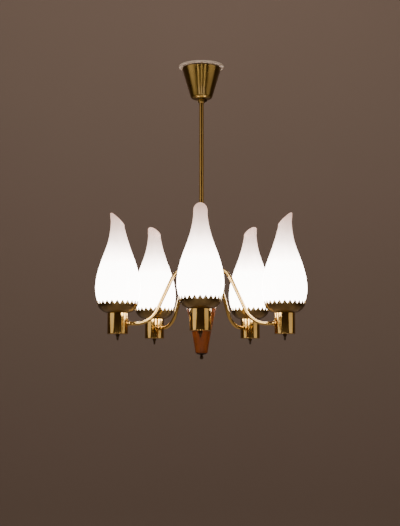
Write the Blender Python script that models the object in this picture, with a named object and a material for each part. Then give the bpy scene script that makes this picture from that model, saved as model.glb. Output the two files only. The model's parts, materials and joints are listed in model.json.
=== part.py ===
"""Five-armed brass chandelier with opal glass shades and a turned teak body.

The model hangs down from its origin, the middle of the ceiling plate's top face.
Lengths are in metres and +Z is up. Lamp 1 faces -Y, and the others follow it
counter-clockwise, seen from above. Each lamp is modelled on its own axis, with +X
pointing away from the stem and its height counted from the underside of its cover.
"""

import math

import bmesh
import bpy
from mathutils import Vector

MM = 0.001

# Clearances
GAP = 0.3 * MM  # between pieces that touch or pass through each other
RIM_GAP = 2 * MM  # air between the ceiling plate and the canopy's rim

# Overall layout
LAMP_COUNT = 5
LAMP_CIRCLE = 190 * MM  # radius of the circle on which the lamps stand
LAMP_DROP = 608.5 * MM  # ceiling to the underside of the lampholder covers
FIRST_LAMP = math.radians(270)

# Ceiling plate and hook
PLATE_RADIUS = 51 * MM
PLATE_THICKNESS = 4 * MM
BOSS_RADIUS = 7 * MM
BOSS_LENGTH = 5 * MM
FIXING_RADIUS = 2.2 * MM  # screw holes through the plate
FIXING_CIRCLE = 32 * MM
HOOK_ROD = 2 * MM
HOOK_BEND = 8 * MM
HOOK_TURN = math.radians(60)  # how far the shank swings out before it turns back
HOOK_TIP = math.radians(-205)  # where the hook's rod ends, as an angle round its eye

# Shackle and stem eye
STRAP_WIDTH = 6 * MM
STRAP_THICKNESS = 2 * MM
STRAP_BEND = 8 * MM
STRAP_LEG = 16 * MM
PIN_RADIUS = 1.5 * MM
PIN_ABOVE_END = 3.5 * MM
PIN_HEAD = 2.6 * MM
PIN_HEAD_LENGTH = 1.5 * MM
EYE_RADIUS = 5.8 * MM
EYE_HALF_HEIGHT = 5 * MM
EYE_STUB = 12 * MM
EYE_EDGE = 1.5 * MM

# Terminal block
BLOCK_SIZE = (12 * MM, 27 * MM, 13 * MM)
BLOCK_WAYS = 3
BLOCK_HOLE = 2 * MM
BLOCK_ABOVE_CORNER = 0.7 * MM  # above the canopy's rounded corner

# Canopy, its collar and the set screw
CANOPY_TOP_RADIUS = 44.1 * MM
CANOPY_BOTTOM_RADIUS = 23 * MM
CANOPY_HEIGHT = 70 * MM
CANOPY_CORNER = 8 * MM
CANOPY_WALL = 1.2 * MM
COLLAR_RADIUS = 8.3 * MM
COLLAR_HEIGHT = 9 * MM
COLLAR_EDGE = 1 * MM
SET_SCREW_RADIUS = 1.5 * MM
SET_SCREW_HEAD = 3.3 * MM
SET_SCREW_HEAD_LENGTH = 4.5 * MM
SET_SCREW_EDGE = 0.8 * MM
SET_SCREW_AZIMUTH = math.radians(-35)

# Stem and hub
STEM_RADIUS = 5 * MM
TUBE_WALL = 1 * MM
STEM_END = 8 * MM  # length of stem below the hub plate
STEM_COLLAR_RADIUS = 9.5 * MM
STEM_COLLAR_HEIGHT = 8 * MM
HUB_NUT_RADIUS = 8 * MM
HUB_NUT_HEIGHT = 5 * MM
HUB_THICKNESS = 2 * MM
HUB_INSET = 0.6 * MM  # the plate's edge stands in from the wood's by this much
HUB_SCREWS = 3
HUB_SCREW_RADIUS = 1.4 * MM
HUB_SCREW_HEAD = 2.7 * MM
HUB_SCREW_HEAD_HEIGHT = 1.6 * MM
HUB_SCREW_LENGTH = 15 * MM

# Teak body, disc and bottom finial
TEAK_TOP = 60.6 * MM  # above the underside of the lampholder covers
TEAK_HEIGHT = 100.1 * MM
TEAK_TOP_RADIUS = 33 * MM
TEAK_BOTTOM_RADIUS = 13 * MM
TEAK_HOLLOW = 1.2 * MM  # how far the cone's side curves in from a straight line
TEAK_EDGE = 1.5 * MM
TEAK_WALL = 8.5 * MM  # wood around the wiring chamber
CHAMBER_DEPTH = 18 * MM
CHAMBER_EDGE = 3 * MM
TEAK_ROWS = 4  # straight steps that follow the cone's hollow side
DISC_RADIUS = 10.5 * MM
DISC_THICKNESS = 1.6 * MM
STUD_RADIUS = 2 * MM
STUD_LENGTH = 16 * MM
FINIAL_NECK = 2.75 * MM
FINIAL_NECK_LENGTH = 4 * MM
FINIAL_FLARE = 5 * MM
FINIAL_KNOB = 4.1 * MM

# Arms
ARM_RADIUS = 4 * MM
ARM_ROOT_INSET = 2 * MM  # from the wiring chamber's wall in to the arms
ARM_TAIL = 1.8 * MM  # length of arm below the hub plate
ARM_APEX = 143.5 * MM  # height of the arch over the underside of the covers
ARM_INNER_BEND = 19.5 * MM
ARM_UPPER_BEND = 33 * MM
ARM_LOWER_BEND = 54 * MM
ARM_EXIT = 23.5 * MM  # height at which an arm enters its lampholder cover
ARM_LEVEL_RUN = 17.4 * MM
ARM_ENTRY = 2 * MM  # how far an arm stands in past its lampholder cover's wall
ARM_NUT_WALL = 1.5 * MM
ARM_NUT_LENGTH = 3 * MM
ARM_NUT_EDGE = 0.8 * MM

# Lampholders
COVER_RADIUS = 22.5 * MM
COVER_HEIGHT = 45.3 * MM
COVER_WALL = 1.2 * MM
COVER_EDGE = 1.2 * MM
SOCKET_WALL = 3.6 * MM
SOCKET_SIDES = 14
SOCKET_FLOOR = 5 * MM
SOCKET_RAISED = 3.5 * MM  # from the cover's floor up to the socket
FLANGE_INSET = 1.5 * MM  # the flange's edge stands in from the cover's by this much
FLANGE_THICKNESS = 2.5 * MM
LAMP_FINIAL_LENGTH = 13 * MM
LAMP_FINIAL_TOP = 4.5 * MM
LAMP_FINIAL_TOP_HEIGHT = 2.6 * MM
LAMP_FINIAL_WAIST = 2.7 * MM
LAMP_FINIAL_WAIST_DROP = 5.85 * MM  # from the finial's seat down to its waist
LAMP_FINIAL_TIP = 1.2 * MM

# Bulbs
CAP_RADIUS = 13.2 * MM
CAP_LENGTH = 26 * MM
CAP_TIP = 5 * MM
BULB_RADIUS = 22.5 * MM
CAP_BEAD = 1 * MM  # the cap's rim turns in on the glass by this much
BULB_GLASS_LENGTH = 49 * MM
BULB_THROAT = 0.55  # where the neck meets the globe, as a share of the turn down to the neck's radius

# Cups with their crown of teeth
CUP_WALL = 0.9 * MM
CUP_TEETH = 24
CUP_TOOTH_HEIGHT = 7 * MM
CUP_RIM = 43.3 * MM
CUP_TIP = 44 * MM
CUP_DEPTH = 16 * MM
CUP_BOWL = ((0.56, 0.24), (0.88, 0.58))  # points of the bowl, as shares of its width and depth

# Glass shades
SHADE_FOOT = ((0.385, 0.37), (0.7, 0.71))  # points inside the bowl, as shares of its width and depth
SHADE_PLAY = 0.7 * MM  # between the glass and the crown's tips
SHADE_BODY = (  # (height above the crown's tips, outer radius)
    (8.4 * MM, 45.9 * MM),
    (29.4 * MM, 48.9 * MM),
    (57.4 * MM, 46 * MM),
    (87.4 * MM, 37.7 * MM),
    (117.4 * MM, 26.8 * MM),
    (142.4 * MM, 19.4 * MM),
    (167.4 * MM, 15.1 * MM),
    (203.4 * MM, 14.6 * MM),
)
SHADE_WALL = 2.6 * MM
SHADE_LENGTH = 195.4 * MM  # from the crown's tips up to the tip of the mouth's tongue
SHADE_SLANT = math.radians(40.5)
SHADE_NECK = 64 * MM  # length of the neck that leans out
SHADE_LEAN = 3.4 * MM  # how far it leans at its tip
SHADE_SIDES = 18
SHADE_ROWS = 9

# Heights that follow from the sizes above
PLATE_BOTTOM = -PLATE_THICKNESS
BOSS_BOTTOM = PLATE_BOTTOM - BOSS_LENGTH
HOOK_CENTRE = BOSS_BOTTOM - 2 * HOOK_BEND * math.sin(HOOK_TURN)
HOOK_INSIDE = HOOK_BEND - HOOK_ROD
STRAP_SEAT = HOOK_CENTRE - math.sqrt(HOOK_INSIDE**2 - (STRAP_WIDTH / 2) ** 2) + GAP
STRAP_CENTRE = STRAP_SEAT - STRAP_BEND + STRAP_THICKNESS / 2
STRAP_END = STRAP_CENTRE - STRAP_LEG
PIN_HEIGHT = STRAP_END + PIN_ABOVE_END
EYE_BOTTOM = PIN_HEIGHT - EYE_HALF_HEIGHT
STEM_TOP = EYE_BOTTOM - GAP
CANOPY_RIM = PLATE_BOTTOM - RIM_GAP
CANOPY_BOTTOM = CANOPY_RIM - CANOPY_HEIGHT
COLLAR_TOP = CANOPY_BOTTOM - GAP
COLLAR_MIDDLE = COLLAR_TOP - COLLAR_HEIGHT / 2
TEAK_TOP_HEIGHT = TEAK_TOP - LAMP_DROP
TEAK_BOTTOM_HEIGHT = TEAK_TOP_HEIGHT - TEAK_HEIGHT
HUB_BOTTOM = TEAK_TOP_HEIGHT + GAP
HUB_TOP = HUB_BOTTOM + HUB_THICKNESS
HUB_RADIUS = TEAK_TOP_RADIUS - HUB_INSET
CHAMBER_RADIUS = TEAK_TOP_RADIUS - TEAK_WALL
HUB_SCREW_CIRCLE = TEAK_TOP_RADIUS - TEAK_WALL / 2
ARM_ROOT = CHAMBER_RADIUS - ARM_ROOT_INSET - ARM_RADIUS  # an arm's upright leg, from the stem's axis
ARM_NUT_RADIUS = ARM_RADIUS + GAP + ARM_NUT_WALL
SOCKET_BOTTOM = COVER_WALL + SOCKET_RAISED
FLANGE_RADIUS = COVER_RADIUS - FLANGE_INSET
SOCKET_BORE = (CAP_RADIUS + GAP) / math.cos(math.pi / SOCKET_SIDES)
SOCKET_RADIUS = SOCKET_BORE + SOCKET_WALL
CUP_BOTTOM = COVER_HEIGHT + GAP
FLANGE_BOTTOM = CUP_BOTTOM + CUP_WALL + GAP
FLANGE_TOP = FLANGE_BOTTOM + FLANGE_THICKNESS
CAP_BOTTOM = SOCKET_BOTTOM + SOCKET_FLOOR + GAP
CROWN_TOP = CUP_BOTTOM + CUP_DEPTH + CUP_TOOTH_HEIGHT
SHADE_TIP = CROWN_TOP + SHADE_LENGTH


def clear_scene():
    for obj in list(bpy.data.objects):
        bpy.data.objects.remove(obj, do_unlink=True)


def linear(hex_colour):
    """Linear RGBA of an sRGB colour written as six hex digits."""
    channels = [int(hex_colour[i : i + 2], 16) / 255 for i in (0, 2, 4)]
    return [c / 12.92 if c <= 0.04045 else ((c + 0.055) / 1.055) ** 2.4 for c in channels] + [1]


def make_material(name, hex_colour, metallic, roughness):
    material = bpy.data.materials.new(name)
    material.use_nodes = True
    shader = material.node_tree.nodes["Principled BSDF"]
    shader.inputs["Base Color"].default_value = linear(hex_colour)
    shader.inputs["Metallic"].default_value = metallic
    shader.inputs["Roughness"].default_value = roughness
    material.diffuse_color = linear(hex_colour)
    return material


def arc(centre, radius, start, end, steps):
    """Points on an arc about centre, from one angle to another, both ends included."""
    turns = [start + (end - start) * i / steps for i in range(steps + 1)]
    return [(centre[0] + radius * math.cos(t), centre[1] + radius * math.sin(t)) for t in turns]


def rounded(corners, steps=3):
    """An outline of (r, z) or (r, z, fillet) corners, with an arc at each fillet."""
    points = []
    for i, corner in enumerate(corners):
        here = Vector(corner[:2])
        if len(corner) == 2:
            points.append(tuple(here))
            continue
        before = (Vector(corners[i - 1][:2]) - here).normalized()
        after = (Vector(corners[(i + 1) % len(corners)][:2]) - here).normalized()
        half = before.angle(after) / 2
        middle = here + (before + after).normalized() * corner[2] / math.sin(half)
        first = here + before * corner[2] / math.tan(half) - middle
        last = here + after * corner[2] / math.tan(half) - middle
        for step in range(steps + 1):
            spoke = first.slerp(last, step / steps).normalized()
            points.append(tuple(middle + spoke * corner[2]))
    return points


def add_object(name, bm, material, place=None, smooth_angle=40):
    """Turns a bmesh into a named object, with its faces out and its round sides smooth."""
    bmesh.ops.remove_doubles(bm, verts=bm.verts, dist=1e-6)
    bmesh.ops.recalc_face_normals(bm, faces=bm.faces)
    mesh = bpy.data.meshes.new(name)
    bm.to_mesh(mesh)
    bm.free()
    mesh.shade_smooth()
    mesh.set_sharp_from_angle(angle=math.radians(smooth_angle))
    return place_mesh(name, mesh, material, place)


def place_mesh(name, mesh, material, place):
    obj = bpy.data.objects.new(name, mesh)
    if not mesh.materials:
        mesh.materials.append(material)
    obj.parent = place
    bpy.context.collection.objects.link(obj)
    return obj


def add_place(name, location, turn=0.0):
    """An empty that pieces are parented to, turned about Z."""
    empty = bpy.data.objects.new(name, None)
    empty.location = location
    empty.rotation_euler.z = turn
    bpy.context.collection.objects.link(empty)
    return empty


def turned(outline, sides):
    """A solid turned about Z. Its outline is closed, or starts and ends on the axis."""
    bm = bmesh.new()
    verts = [bm.verts.new((r, 0, z)) for r, z in outline]
    ends = list(zip(verts, verts[1:]))
    if outline[0][0] > 0:
        ends.append((verts[-1], verts[0]))
    edges = [bm.edges.new(pair) for pair in ends]
    bmesh.ops.spin(
        bm, geom=verts + edges, axis=(0, 0, 1), cent=(0, 0, 0), angle=math.tau, steps=sides, use_merge=True
    )
    bmesh.ops.remove_doubles(bm, verts=bm.verts, dist=1e-6)
    return bm


def bridge(bm, rings):
    """Faces between each ring of points and the next, and back to the first."""
    for ring, following in zip(rings, rings[1:] + rings[:1]):
        for i, vert in enumerate(ring):
            j = (i + 1) % len(ring)
            bm.faces.new((vert, ring[j], following[j], following[i]))


def swept(path, normal, section):
    """Rings of a section carried along a flat path, which lies square to normal."""
    rings = []
    for i, point in enumerate(path):
        ahead = (path[min(i + 1, len(path) - 1)] - path[max(i - 1, 0)]).normalized()
        across = ahead.cross(normal)
        rings.append([point + across * u + normal * v for u, v in section])
    return rings


def rod(path, normal, section):
    """A solid bar of the section along the path."""
    bm = bmesh.new()
    rings = [[bm.verts.new(p) for p in ring] for ring in swept(path, normal, section)]
    for ring, following in zip(rings, rings[1:]):
        for i, vert in enumerate(ring):
            j = (i + 1) % len(ring)
            bm.faces.new((vert, ring[j], following[j], following[i]))
    bm.faces.new(rings[0])
    bm.faces.new(list(reversed(rings[-1])))
    return bm


def pipe(path, normal, radius, bore, sides):
    """An open tube along the path."""
    bm = bmesh.new()
    outer = swept(path, normal, circle(radius, sides))
    inner = swept(path, normal, circle(bore, sides))
    bridge(bm, [[bm.verts.new(p) for p in ring] for ring in outer + inner[::-1]])
    return bm


def circle(radius, sides):
    turns = [math.tau * i / sides for i in range(sides)]
    return [(radius * math.cos(t), radius * math.sin(t)) for t in turns]


def box(low, high):
    bm = bmesh.new()
    bmesh.ops.create_cube(bm, size=1)
    size = Vector(high) - Vector(low)
    bmesh.ops.scale(bm, vec=size, verts=bm.verts)
    bmesh.ops.translate(bm, vec=(Vector(high) + Vector(low)) / 2, verts=bm.verts)
    return bm


def bore(obj, start, end, radius, sides=12):
    """Cuts a hole from start to end, given in the space that the object is placed in.

    The radius is clear of every flat of the many-sided hole.
    """
    start, end = Vector(start), Vector(end)
    corner = radius / math.cos(math.pi / sides)
    bm = bmesh.new()
    bmesh.ops.create_cone(
        bm, cap_ends=True, segments=sides, radius1=corner, radius2=corner, depth=(end - start).length
    )
    turn = (end - start).to_track_quat("Z", "Y").to_matrix()
    bmesh.ops.rotate(bm, cent=(0, 0, 0), matrix=turn, verts=bm.verts)
    bmesh.ops.translate(bm, vec=(start + end) / 2, verts=bm.verts)
    mesh = bpy.data.meshes.new(obj.name + "_drill")
    bm.to_mesh(mesh)
    bm.free()
    drill = bpy.data.objects.new(mesh.name, mesh)
    drill.parent = obj.parent
    drill.hide_render = True
    drill.display_type = "WIRE"
    bpy.context.collection.objects.link(drill)
    cut = obj.modifiers.new("hole", "BOOLEAN")
    cut.operation = "DIFFERENCE"
    cut.solver = "EXACT"
    cut.object = drill


def around(radius, count, start, height):
    """Points spaced evenly on a level circle."""
    turns = [start + math.tau * i / count for i in range(count)]
    return [Vector((radius * math.cos(t), radius * math.sin(t), height)) for t in turns]


def make_ceiling_plate(paint):
    outline = rounded([
        (0, 0),
        (PLATE_RADIUS, 0),
        (PLATE_RADIUS, PLATE_BOTTOM, PLATE_THICKNESS / 2),
        (BOSS_RADIUS, PLATE_BOTTOM),
        (BOSS_RADIUS, BOSS_BOTTOM),
        (HOOK_ROD + GAP, BOSS_BOTTOM),
        (HOOK_ROD + GAP, PLATE_BOTTOM),
        (0, PLATE_BOTTOM),
    ])
    plate = add_object("ceiling_plate", turned(outline, 24), paint)
    for hole in around(FIXING_CIRCLE, 2, 0, 0):
        bore(plate, hole + Vector((0, 0, GAP)), hole + Vector((0, 0, PLATE_BOTTOM - GAP)), FIXING_RADIUS)


def make_hook(steel):
    """A shank that screws into the boss and turns into an open eye below it."""
    swing = arc((HOOK_BEND, BOSS_BOTTOM), HOOK_BEND, math.pi, math.pi + HOOK_TURN, 3)
    eye = arc((0, HOOK_CENTRE), HOOK_BEND, HOOK_TURN, HOOK_TIP, 14)
    path = [Vector((0, 0, PLATE_BOTTOM - GAP))]
    path += [Vector((x, 0, z)) for x, z in swing + eye[1:]]
    add_object("ceiling_hook", rod(path, Vector((0, 1, 0)), circle(HOOK_ROD, 8)), steel)


def make_shackle(steel):
    """A bent strap over the hook, with a pin across its two legs."""
    bend = arc((0, STRAP_CENTRE), STRAP_BEND, 0, math.pi, 8)
    path = [(STRAP_BEND, STRAP_END)] + bend + [(-STRAP_BEND, STRAP_END)]
    half_width = STRAP_WIDTH / 2
    half_thickness = STRAP_THICKNESS / 2
    section = [
        (half_thickness, half_width),
        (-half_thickness, half_width),
        (-half_thickness, -half_width),
        (half_thickness, -half_width),
    ]
    strap = rod([Vector((0, y, z)) for y, z in path], Vector((1, 0, 0)), section)
    shackle = add_object("shackle", strap, steel, smooth_angle=30)
    reach = STRAP_BEND + STRAP_THICKNESS
    bore(shackle, (0, -reach, PIN_HEIGHT), (0, reach, PIN_HEIGHT), PIN_RADIUS + GAP)


def make_shackle_pin(steel):
    """A headed pin through both legs, lying along Y."""
    outside = STRAP_BEND + STRAP_THICKNESS / 2 + GAP
    head = outside + PIN_HEAD_LENGTH
    outline = [
        (0, head),
        (PIN_HEAD, head),
        (PIN_HEAD, outside),
        (PIN_RADIUS, outside),
        (PIN_RADIUS, -outside),
        (PIN_HEAD, -outside),
        (PIN_HEAD, -head),
        (0, -head),
    ]
    pin = add_object("shackle_pin", turned(outline, 12), steel)
    pin.location.z = PIN_HEIGHT
    pin.rotation_euler.x = math.radians(90)


def make_stem_eye(steel):
    top = PIN_HEIGHT + EYE_HALF_HEIGHT
    stub = STEM_RADIUS - TUBE_WALL - GAP
    outline = rounded([
        (0, top),
        (EYE_RADIUS, top, EYE_EDGE),
        (EYE_RADIUS, EYE_BOTTOM),
        (stub, EYE_BOTTOM),
        (stub, EYE_BOTTOM - EYE_STUB),
        (0, EYE_BOTTOM - EYE_STUB),
    ])
    eye = add_object("stem_eye", turned(outline, 16), steel)
    reach = EYE_RADIUS + GAP
    bore(eye, (0, -reach, PIN_HEIGHT), (0, reach, PIN_HEIGHT), PIN_RADIUS + GAP)


def make_terminal_block(plastic):
    """A strip with one wire way for each conductor, beside the stem inside the canopy."""
    depth, width, height = BLOCK_SIZE
    near = max(STEM_RADIUS, EYE_RADIUS) + GAP
    bottom = CANOPY_BOTTOM + CANOPY_CORNER + BLOCK_ABOVE_CORNER
    top = bottom + height
    body = box((near, -width / 2, bottom), (near + depth, width / 2, top))
    block = add_object("terminal_block", body, plastic, smooth_angle=30)
    for way in range(BLOCK_WAYS):
        y = width * ((way + 0.5) / BLOCK_WAYS - 0.5)
        x = near + depth / 2
        bore(block, (x, y, top + GAP), (x, y, bottom - GAP), BLOCK_HOLE, 8)


def make_canopy(brass):
    """A thin tapered cup, open to the ceiling, with a hole in its floor for the stem."""
    hole = STEM_RADIUS + GAP
    floor = CANOPY_BOTTOM + CANOPY_WALL
    inner_corner = CANOPY_CORNER - CANOPY_WALL
    outline = rounded([
        (CANOPY_TOP_RADIUS, CANOPY_RIM),
        (CANOPY_BOTTOM_RADIUS, CANOPY_BOTTOM, CANOPY_CORNER),
        (hole, CANOPY_BOTTOM),
        (hole, floor),
        (CANOPY_BOTTOM_RADIUS - CANOPY_WALL, floor, inner_corner),
        (CANOPY_TOP_RADIUS - CANOPY_WALL, CANOPY_RIM),
    ])
    add_object("canopy", turned(outline, 24), brass)


def make_canopy_collar(brass):
    hole = STEM_RADIUS + GAP
    outline = rounded([
        (COLLAR_RADIUS, COLLAR_TOP, COLLAR_EDGE),
        (COLLAR_RADIUS, COLLAR_TOP - COLLAR_HEIGHT, COLLAR_EDGE),
        (hole, COLLAR_TOP - COLLAR_HEIGHT),
        (hole, COLLAR_TOP),
    ], steps=2)
    place = add_place("collar_place", (0, 0, COLLAR_MIDDLE), SET_SCREW_AZIMUTH)
    ring = turned([(r, z - COLLAR_MIDDLE) for r, z in outline], 16)
    collar = add_object("canopy_collar", ring, brass, place)
    bore(collar, (STEM_RADIUS / 2, 0, 0), (COLLAR_RADIUS * 1.5, 0, 0), SET_SCREW_RADIUS + GAP)
    return place


def make_collar_screw(brass, place):
    """A thumb screw that lies along the place's X axis and clamps the collar to the stem."""
    head_start = COLLAR_RADIUS + GAP
    head_end = head_start + SET_SCREW_HEAD_LENGTH
    outline = rounded([
        (0, head_end),
        (SET_SCREW_HEAD, head_end, SET_SCREW_EDGE),
        (SET_SCREW_HEAD, head_start),
        (SET_SCREW_RADIUS, head_start),
        (SET_SCREW_RADIUS, STEM_RADIUS + GAP),
        (0, STEM_RADIUS + GAP),
    ], steps=2)
    screw = add_object("collar_screw", turned(outline, 12), brass, place)
    screw.rotation_euler.y = math.radians(90)


def make_stem(brass):
    bottom = HUB_BOTTOM - STEM_END
    path = [Vector((0, 0, STEM_TOP)), Vector((0, 0, bottom))]
    tube = pipe(path, Vector((0, 1, 0)), STEM_RADIUS, STEM_RADIUS - TUBE_WALL, 12)
    add_object("stem", tube, brass)


def make_hub(brass, screw_brass):
    """The plate that the arms are soldered into, the collar and nut that clamp it, and its screws."""
    hole = STEM_RADIUS + GAP
    outline = rounded([
        (HUB_RADIUS, HUB_TOP, HUB_THICKNESS / 2),
        (HUB_RADIUS, HUB_BOTTOM),
        (hole, HUB_BOTTOM),
        (hole, HUB_TOP),
    ], steps=1)
    plate = add_object("hub_plate", turned(outline, 24), brass)
    drill = Vector((0, 0, HUB_THICKNESS + GAP))
    for centre in around(ARM_ROOT, LAMP_COUNT, FIRST_LAMP, HUB_BOTTOM):
        bore(plate, centre - drill, centre + drill, ARM_RADIUS + GAP, 8)

    top = HUB_TOP + GAP
    collar = rounded([
        (STEM_COLLAR_RADIUS, top + STEM_COLLAR_HEIGHT, STEM_COLLAR_HEIGHT / 2),
        (STEM_COLLAR_RADIUS, top),
        (hole, top),
        (hole, top + STEM_COLLAR_HEIGHT),
    ])
    add_object("stem_collar", turned(collar, 20), brass)

    nut_top = HUB_BOTTOM - GAP
    nut_bottom = nut_top - HUB_NUT_HEIGHT
    hexagon = [(0, nut_top), (HUB_NUT_RADIUS, nut_top), (HUB_NUT_RADIUS, nut_bottom), (0, nut_bottom)]
    nut = add_object("hub_nut", turned(hexagon, 6), brass, smooth_angle=20)
    bore(nut, (0, 0, nut_top + GAP), (0, 0, nut_bottom - GAP), hole, 16)

    first_screw = FIRST_LAMP + math.pi / LAMP_COUNT
    for number, centre in enumerate(around(HUB_SCREW_CIRCLE, HUB_SCREWS, first_screw, HUB_TOP + GAP), 1):
        bore(plate, centre - 2 * drill, centre + drill, HUB_SCREW_RADIUS + GAP, 8)
        shank_end = -HUB_THICKNESS - HUB_SCREW_LENGTH
        screw = rounded([
            (0, HUB_SCREW_HEAD_HEIGHT),
            (HUB_SCREW_HEAD, HUB_SCREW_HEAD_HEIGHT, HUB_SCREW_HEAD_HEIGHT / 2),
            (HUB_SCREW_HEAD, 0),
            (HUB_SCREW_RADIUS, 0),
            (HUB_SCREW_RADIUS, shank_end + HUB_SCREW_RADIUS),
            (0, shank_end),
        ], steps=2)
        piece = add_object(f"hub_screw_{number}", turned(screw, 8), screw_brass)
        piece.location = centre
    return first_screw


def make_teak_body(teak, first_screw):
    """A turned cone with a wiring chamber in its top and a pilot hole in its foot."""
    top, bottom = TEAK_TOP_HEIGHT, TEAK_BOTTOM_HEIGHT
    side = []
    for row in range(1, TEAK_ROWS):
        share = row / TEAK_ROWS
        radius = TEAK_TOP_RADIUS + (TEAK_BOTTOM_RADIUS - TEAK_TOP_RADIUS) * share
        side.append((radius - TEAK_HOLLOW * math.sin(math.pi * share), top - TEAK_HEIGHT * share))
    outline = rounded([
        (0, top - CHAMBER_DEPTH),
        (CHAMBER_RADIUS, top - CHAMBER_DEPTH, CHAMBER_EDGE),
        (CHAMBER_RADIUS, top),
        (TEAK_TOP_RADIUS, top, TEAK_EDGE),
        *side,
        (TEAK_BOTTOM_RADIUS, bottom, TEAK_EDGE),
        (STUD_RADIUS + GAP, bottom),
        (STUD_RADIUS + GAP, bottom + STUD_LENGTH),
        (0, bottom + STUD_LENGTH),
    ], steps=1)
    body = add_object("teak_body", turned(outline, 24), teak)
    depth = Vector((0, 0, HUB_SCREW_LENGTH + HUB_THICKNESS))
    for centre in around(HUB_SCREW_CIRCLE, HUB_SCREWS, first_screw, HUB_TOP + GAP):
        bore(body, centre, centre - depth - Vector((0, 0, GAP)), HUB_SCREW_RADIUS + GAP, 8)


def make_bottom(dark, brass):
    """A dark disc and the turned finial that screws up through it into the wood."""
    top = TEAK_BOTTOM_HEIGHT - GAP
    bottom = top - DISC_THICKNESS
    hole = STUD_RADIUS + GAP
    disc = [(DISC_RADIUS, top), (DISC_RADIUS, bottom), (hole, bottom), (hole, top)]
    add_object("bottom_disc", turned(disc, 20), dark)

    seat = bottom - GAP
    neck = seat - FINIAL_NECK_LENGTH
    knob_centre = neck - math.sqrt(FINIAL_KNOB**2 - FINIAL_NECK**2)
    neck_angle = math.asin((neck - knob_centre) / FINIAL_KNOB)
    knob = arc((0, knob_centre), FINIAL_KNOB, neck_angle, -math.pi / 2, 6)
    outline = [
        (0, top + STUD_LENGTH - GAP),
        (STUD_RADIUS, top + STUD_LENGTH - GAP),
        (STUD_RADIUS, seat),
        (FINIAL_FLARE, seat),
        (FINIAL_NECK, seat - FINIAL_NECK_LENGTH / 2),
        *knob[:-1],
        (0, knob_centre - FINIAL_KNOB),
    ]
    add_object("bottom_finial", turned(outline, 14), brass)


def arm_path():
    """The arm's centre line, out from the stem: up, over the arch, down and level again."""
    foot = HUB_BOTTOM - ARM_TAIL + LAMP_DROP
    inner = (ARM_ROOT + ARM_INNER_BEND, ARM_APEX - ARM_INNER_BEND)
    upper = Vector((inner[0], ARM_APEX - ARM_UPPER_BEND))
    cover = LAMP_CIRCLE - COVER_RADIUS
    lower = Vector((cover - ARM_LEVEL_RUN, ARM_EXIT + ARM_LOWER_BEND))
    between = lower - upper
    lean = math.asin((ARM_UPPER_BEND + ARM_LOWER_BEND) / between.length)
    fall = lean - math.atan2(between.y, between.x)
    points = [(ARM_ROOT, foot)]
    points += arc(inner, ARM_INNER_BEND, math.pi, math.pi / 2, 4)
    points += arc(upper, ARM_UPPER_BEND, math.pi / 2, math.pi / 2 - fall, 4)[1:]
    points += arc(lower, ARM_LOWER_BEND, -math.pi / 2 - fall, -math.pi / 2, 4)
    points.append((cover + COVER_WALL + ARM_ENTRY, ARM_EXIT))
    return [Vector((r, 0, z)) for r, z in points]


def make_cup_mesh(brass):
    """A shallow bowl whose rim is a crown of pointed teeth."""
    hole = SOCKET_RADIUS + GAP
    base = CUP_BOTTOM + CUP_DEPTH
    width = CUP_RIM - COVER_RADIUS
    bowl = [(COVER_RADIUS + width * u, CUP_BOTTOM + CUP_DEPTH * v) for u, v in CUP_BOWL]
    outer = [(hole, CUP_BOTTOM), (COVER_RADIUS, CUP_BOTTOM), *bowl, (CUP_RIM, base)]
    lift = CUP_WALL * math.sqrt(0.5)
    inner = [(hole, CUP_BOTTOM + CUP_WALL), (COVER_RADIUS, CUP_BOTTOM + CUP_WALL)]
    inner += [(r - lift, z + lift) for r, z in bowl]
    inner.append((CUP_RIM - CUP_WALL, base))
    bm = bmesh.new()

    def ring(radius, height, half_step=0.0):
        turns = [math.tau * (i + half_step) / CUP_TEETH for i in range(CUP_TEETH)]
        return [bm.verts.new((radius * math.cos(t), radius * math.sin(t), height)) for t in turns]

    rings = [ring(r, z) for r, z in inner[::-1] + outer]
    for ring_here, following in zip(rings, rings[1:]):
        for i, vert in enumerate(ring_here):
            j = (i + 1) % CUP_TEETH
            bm.faces.new((vert, ring_here[j], following[j], following[i]))
    tip_height = base + CUP_TOOTH_HEIGHT
    outer_tips = ring(CUP_TIP, tip_height, 0.5)
    inner_tips = ring(CUP_TIP - CUP_WALL, tip_height, 0.5)
    inside, outside = rings[0], rings[-1]
    for i in range(CUP_TEETH):
        j = (i + 1) % CUP_TEETH
        bm.faces.new((outside[i], outside[j], outer_tips[i]))
        bm.faces.new((inside[j], inside[i], inner_tips[i]))
        bm.faces.new((outside[i], outer_tips[i], inner_tips[i], inside[i]))
        bm.faces.new((outer_tips[i], outside[j], inside[j], inner_tips[i]))
    cup = add_object("cup_pattern", bm, brass, smooth_angle=35)
    return take_mesh(cup)


def take_mesh(pattern):
    """Keeps a pattern's mesh and removes its object."""
    mesh = pattern.data
    bpy.data.objects.remove(pattern)
    return mesh


def smooth_curve(knots, count):
    """Points evenly spread along the first value of a smooth curve through the knots."""
    slopes = []
    for i in range(len(knots)):
        low, high = knots[max(i - 1, 0)], knots[min(i + 1, len(knots) - 1)]
        slopes.append((high[1] - low[1]) / (high[0] - low[0]))
    points = []
    for step in range(count):
        at = knots[0][0] + (knots[-1][0] - knots[0][0]) * step / (count - 1)
        i = max(k for k in range(len(knots) - 1) if knots[k][0] <= at)
        span = knots[i + 1][0] - knots[i][0]
        t = (at - knots[i][0]) / span
        value = (2 * t**3 - 3 * t**2 + 1) * knots[i][1] + (3 * t**2 - 2 * t**3) * knots[i + 1][1]
        value += span * ((t**3 - 2 * t**2 + t) * slopes[i] + (t**3 - t**2) * slopes[i + 1])
        points.append((at, value))
    return points


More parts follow.
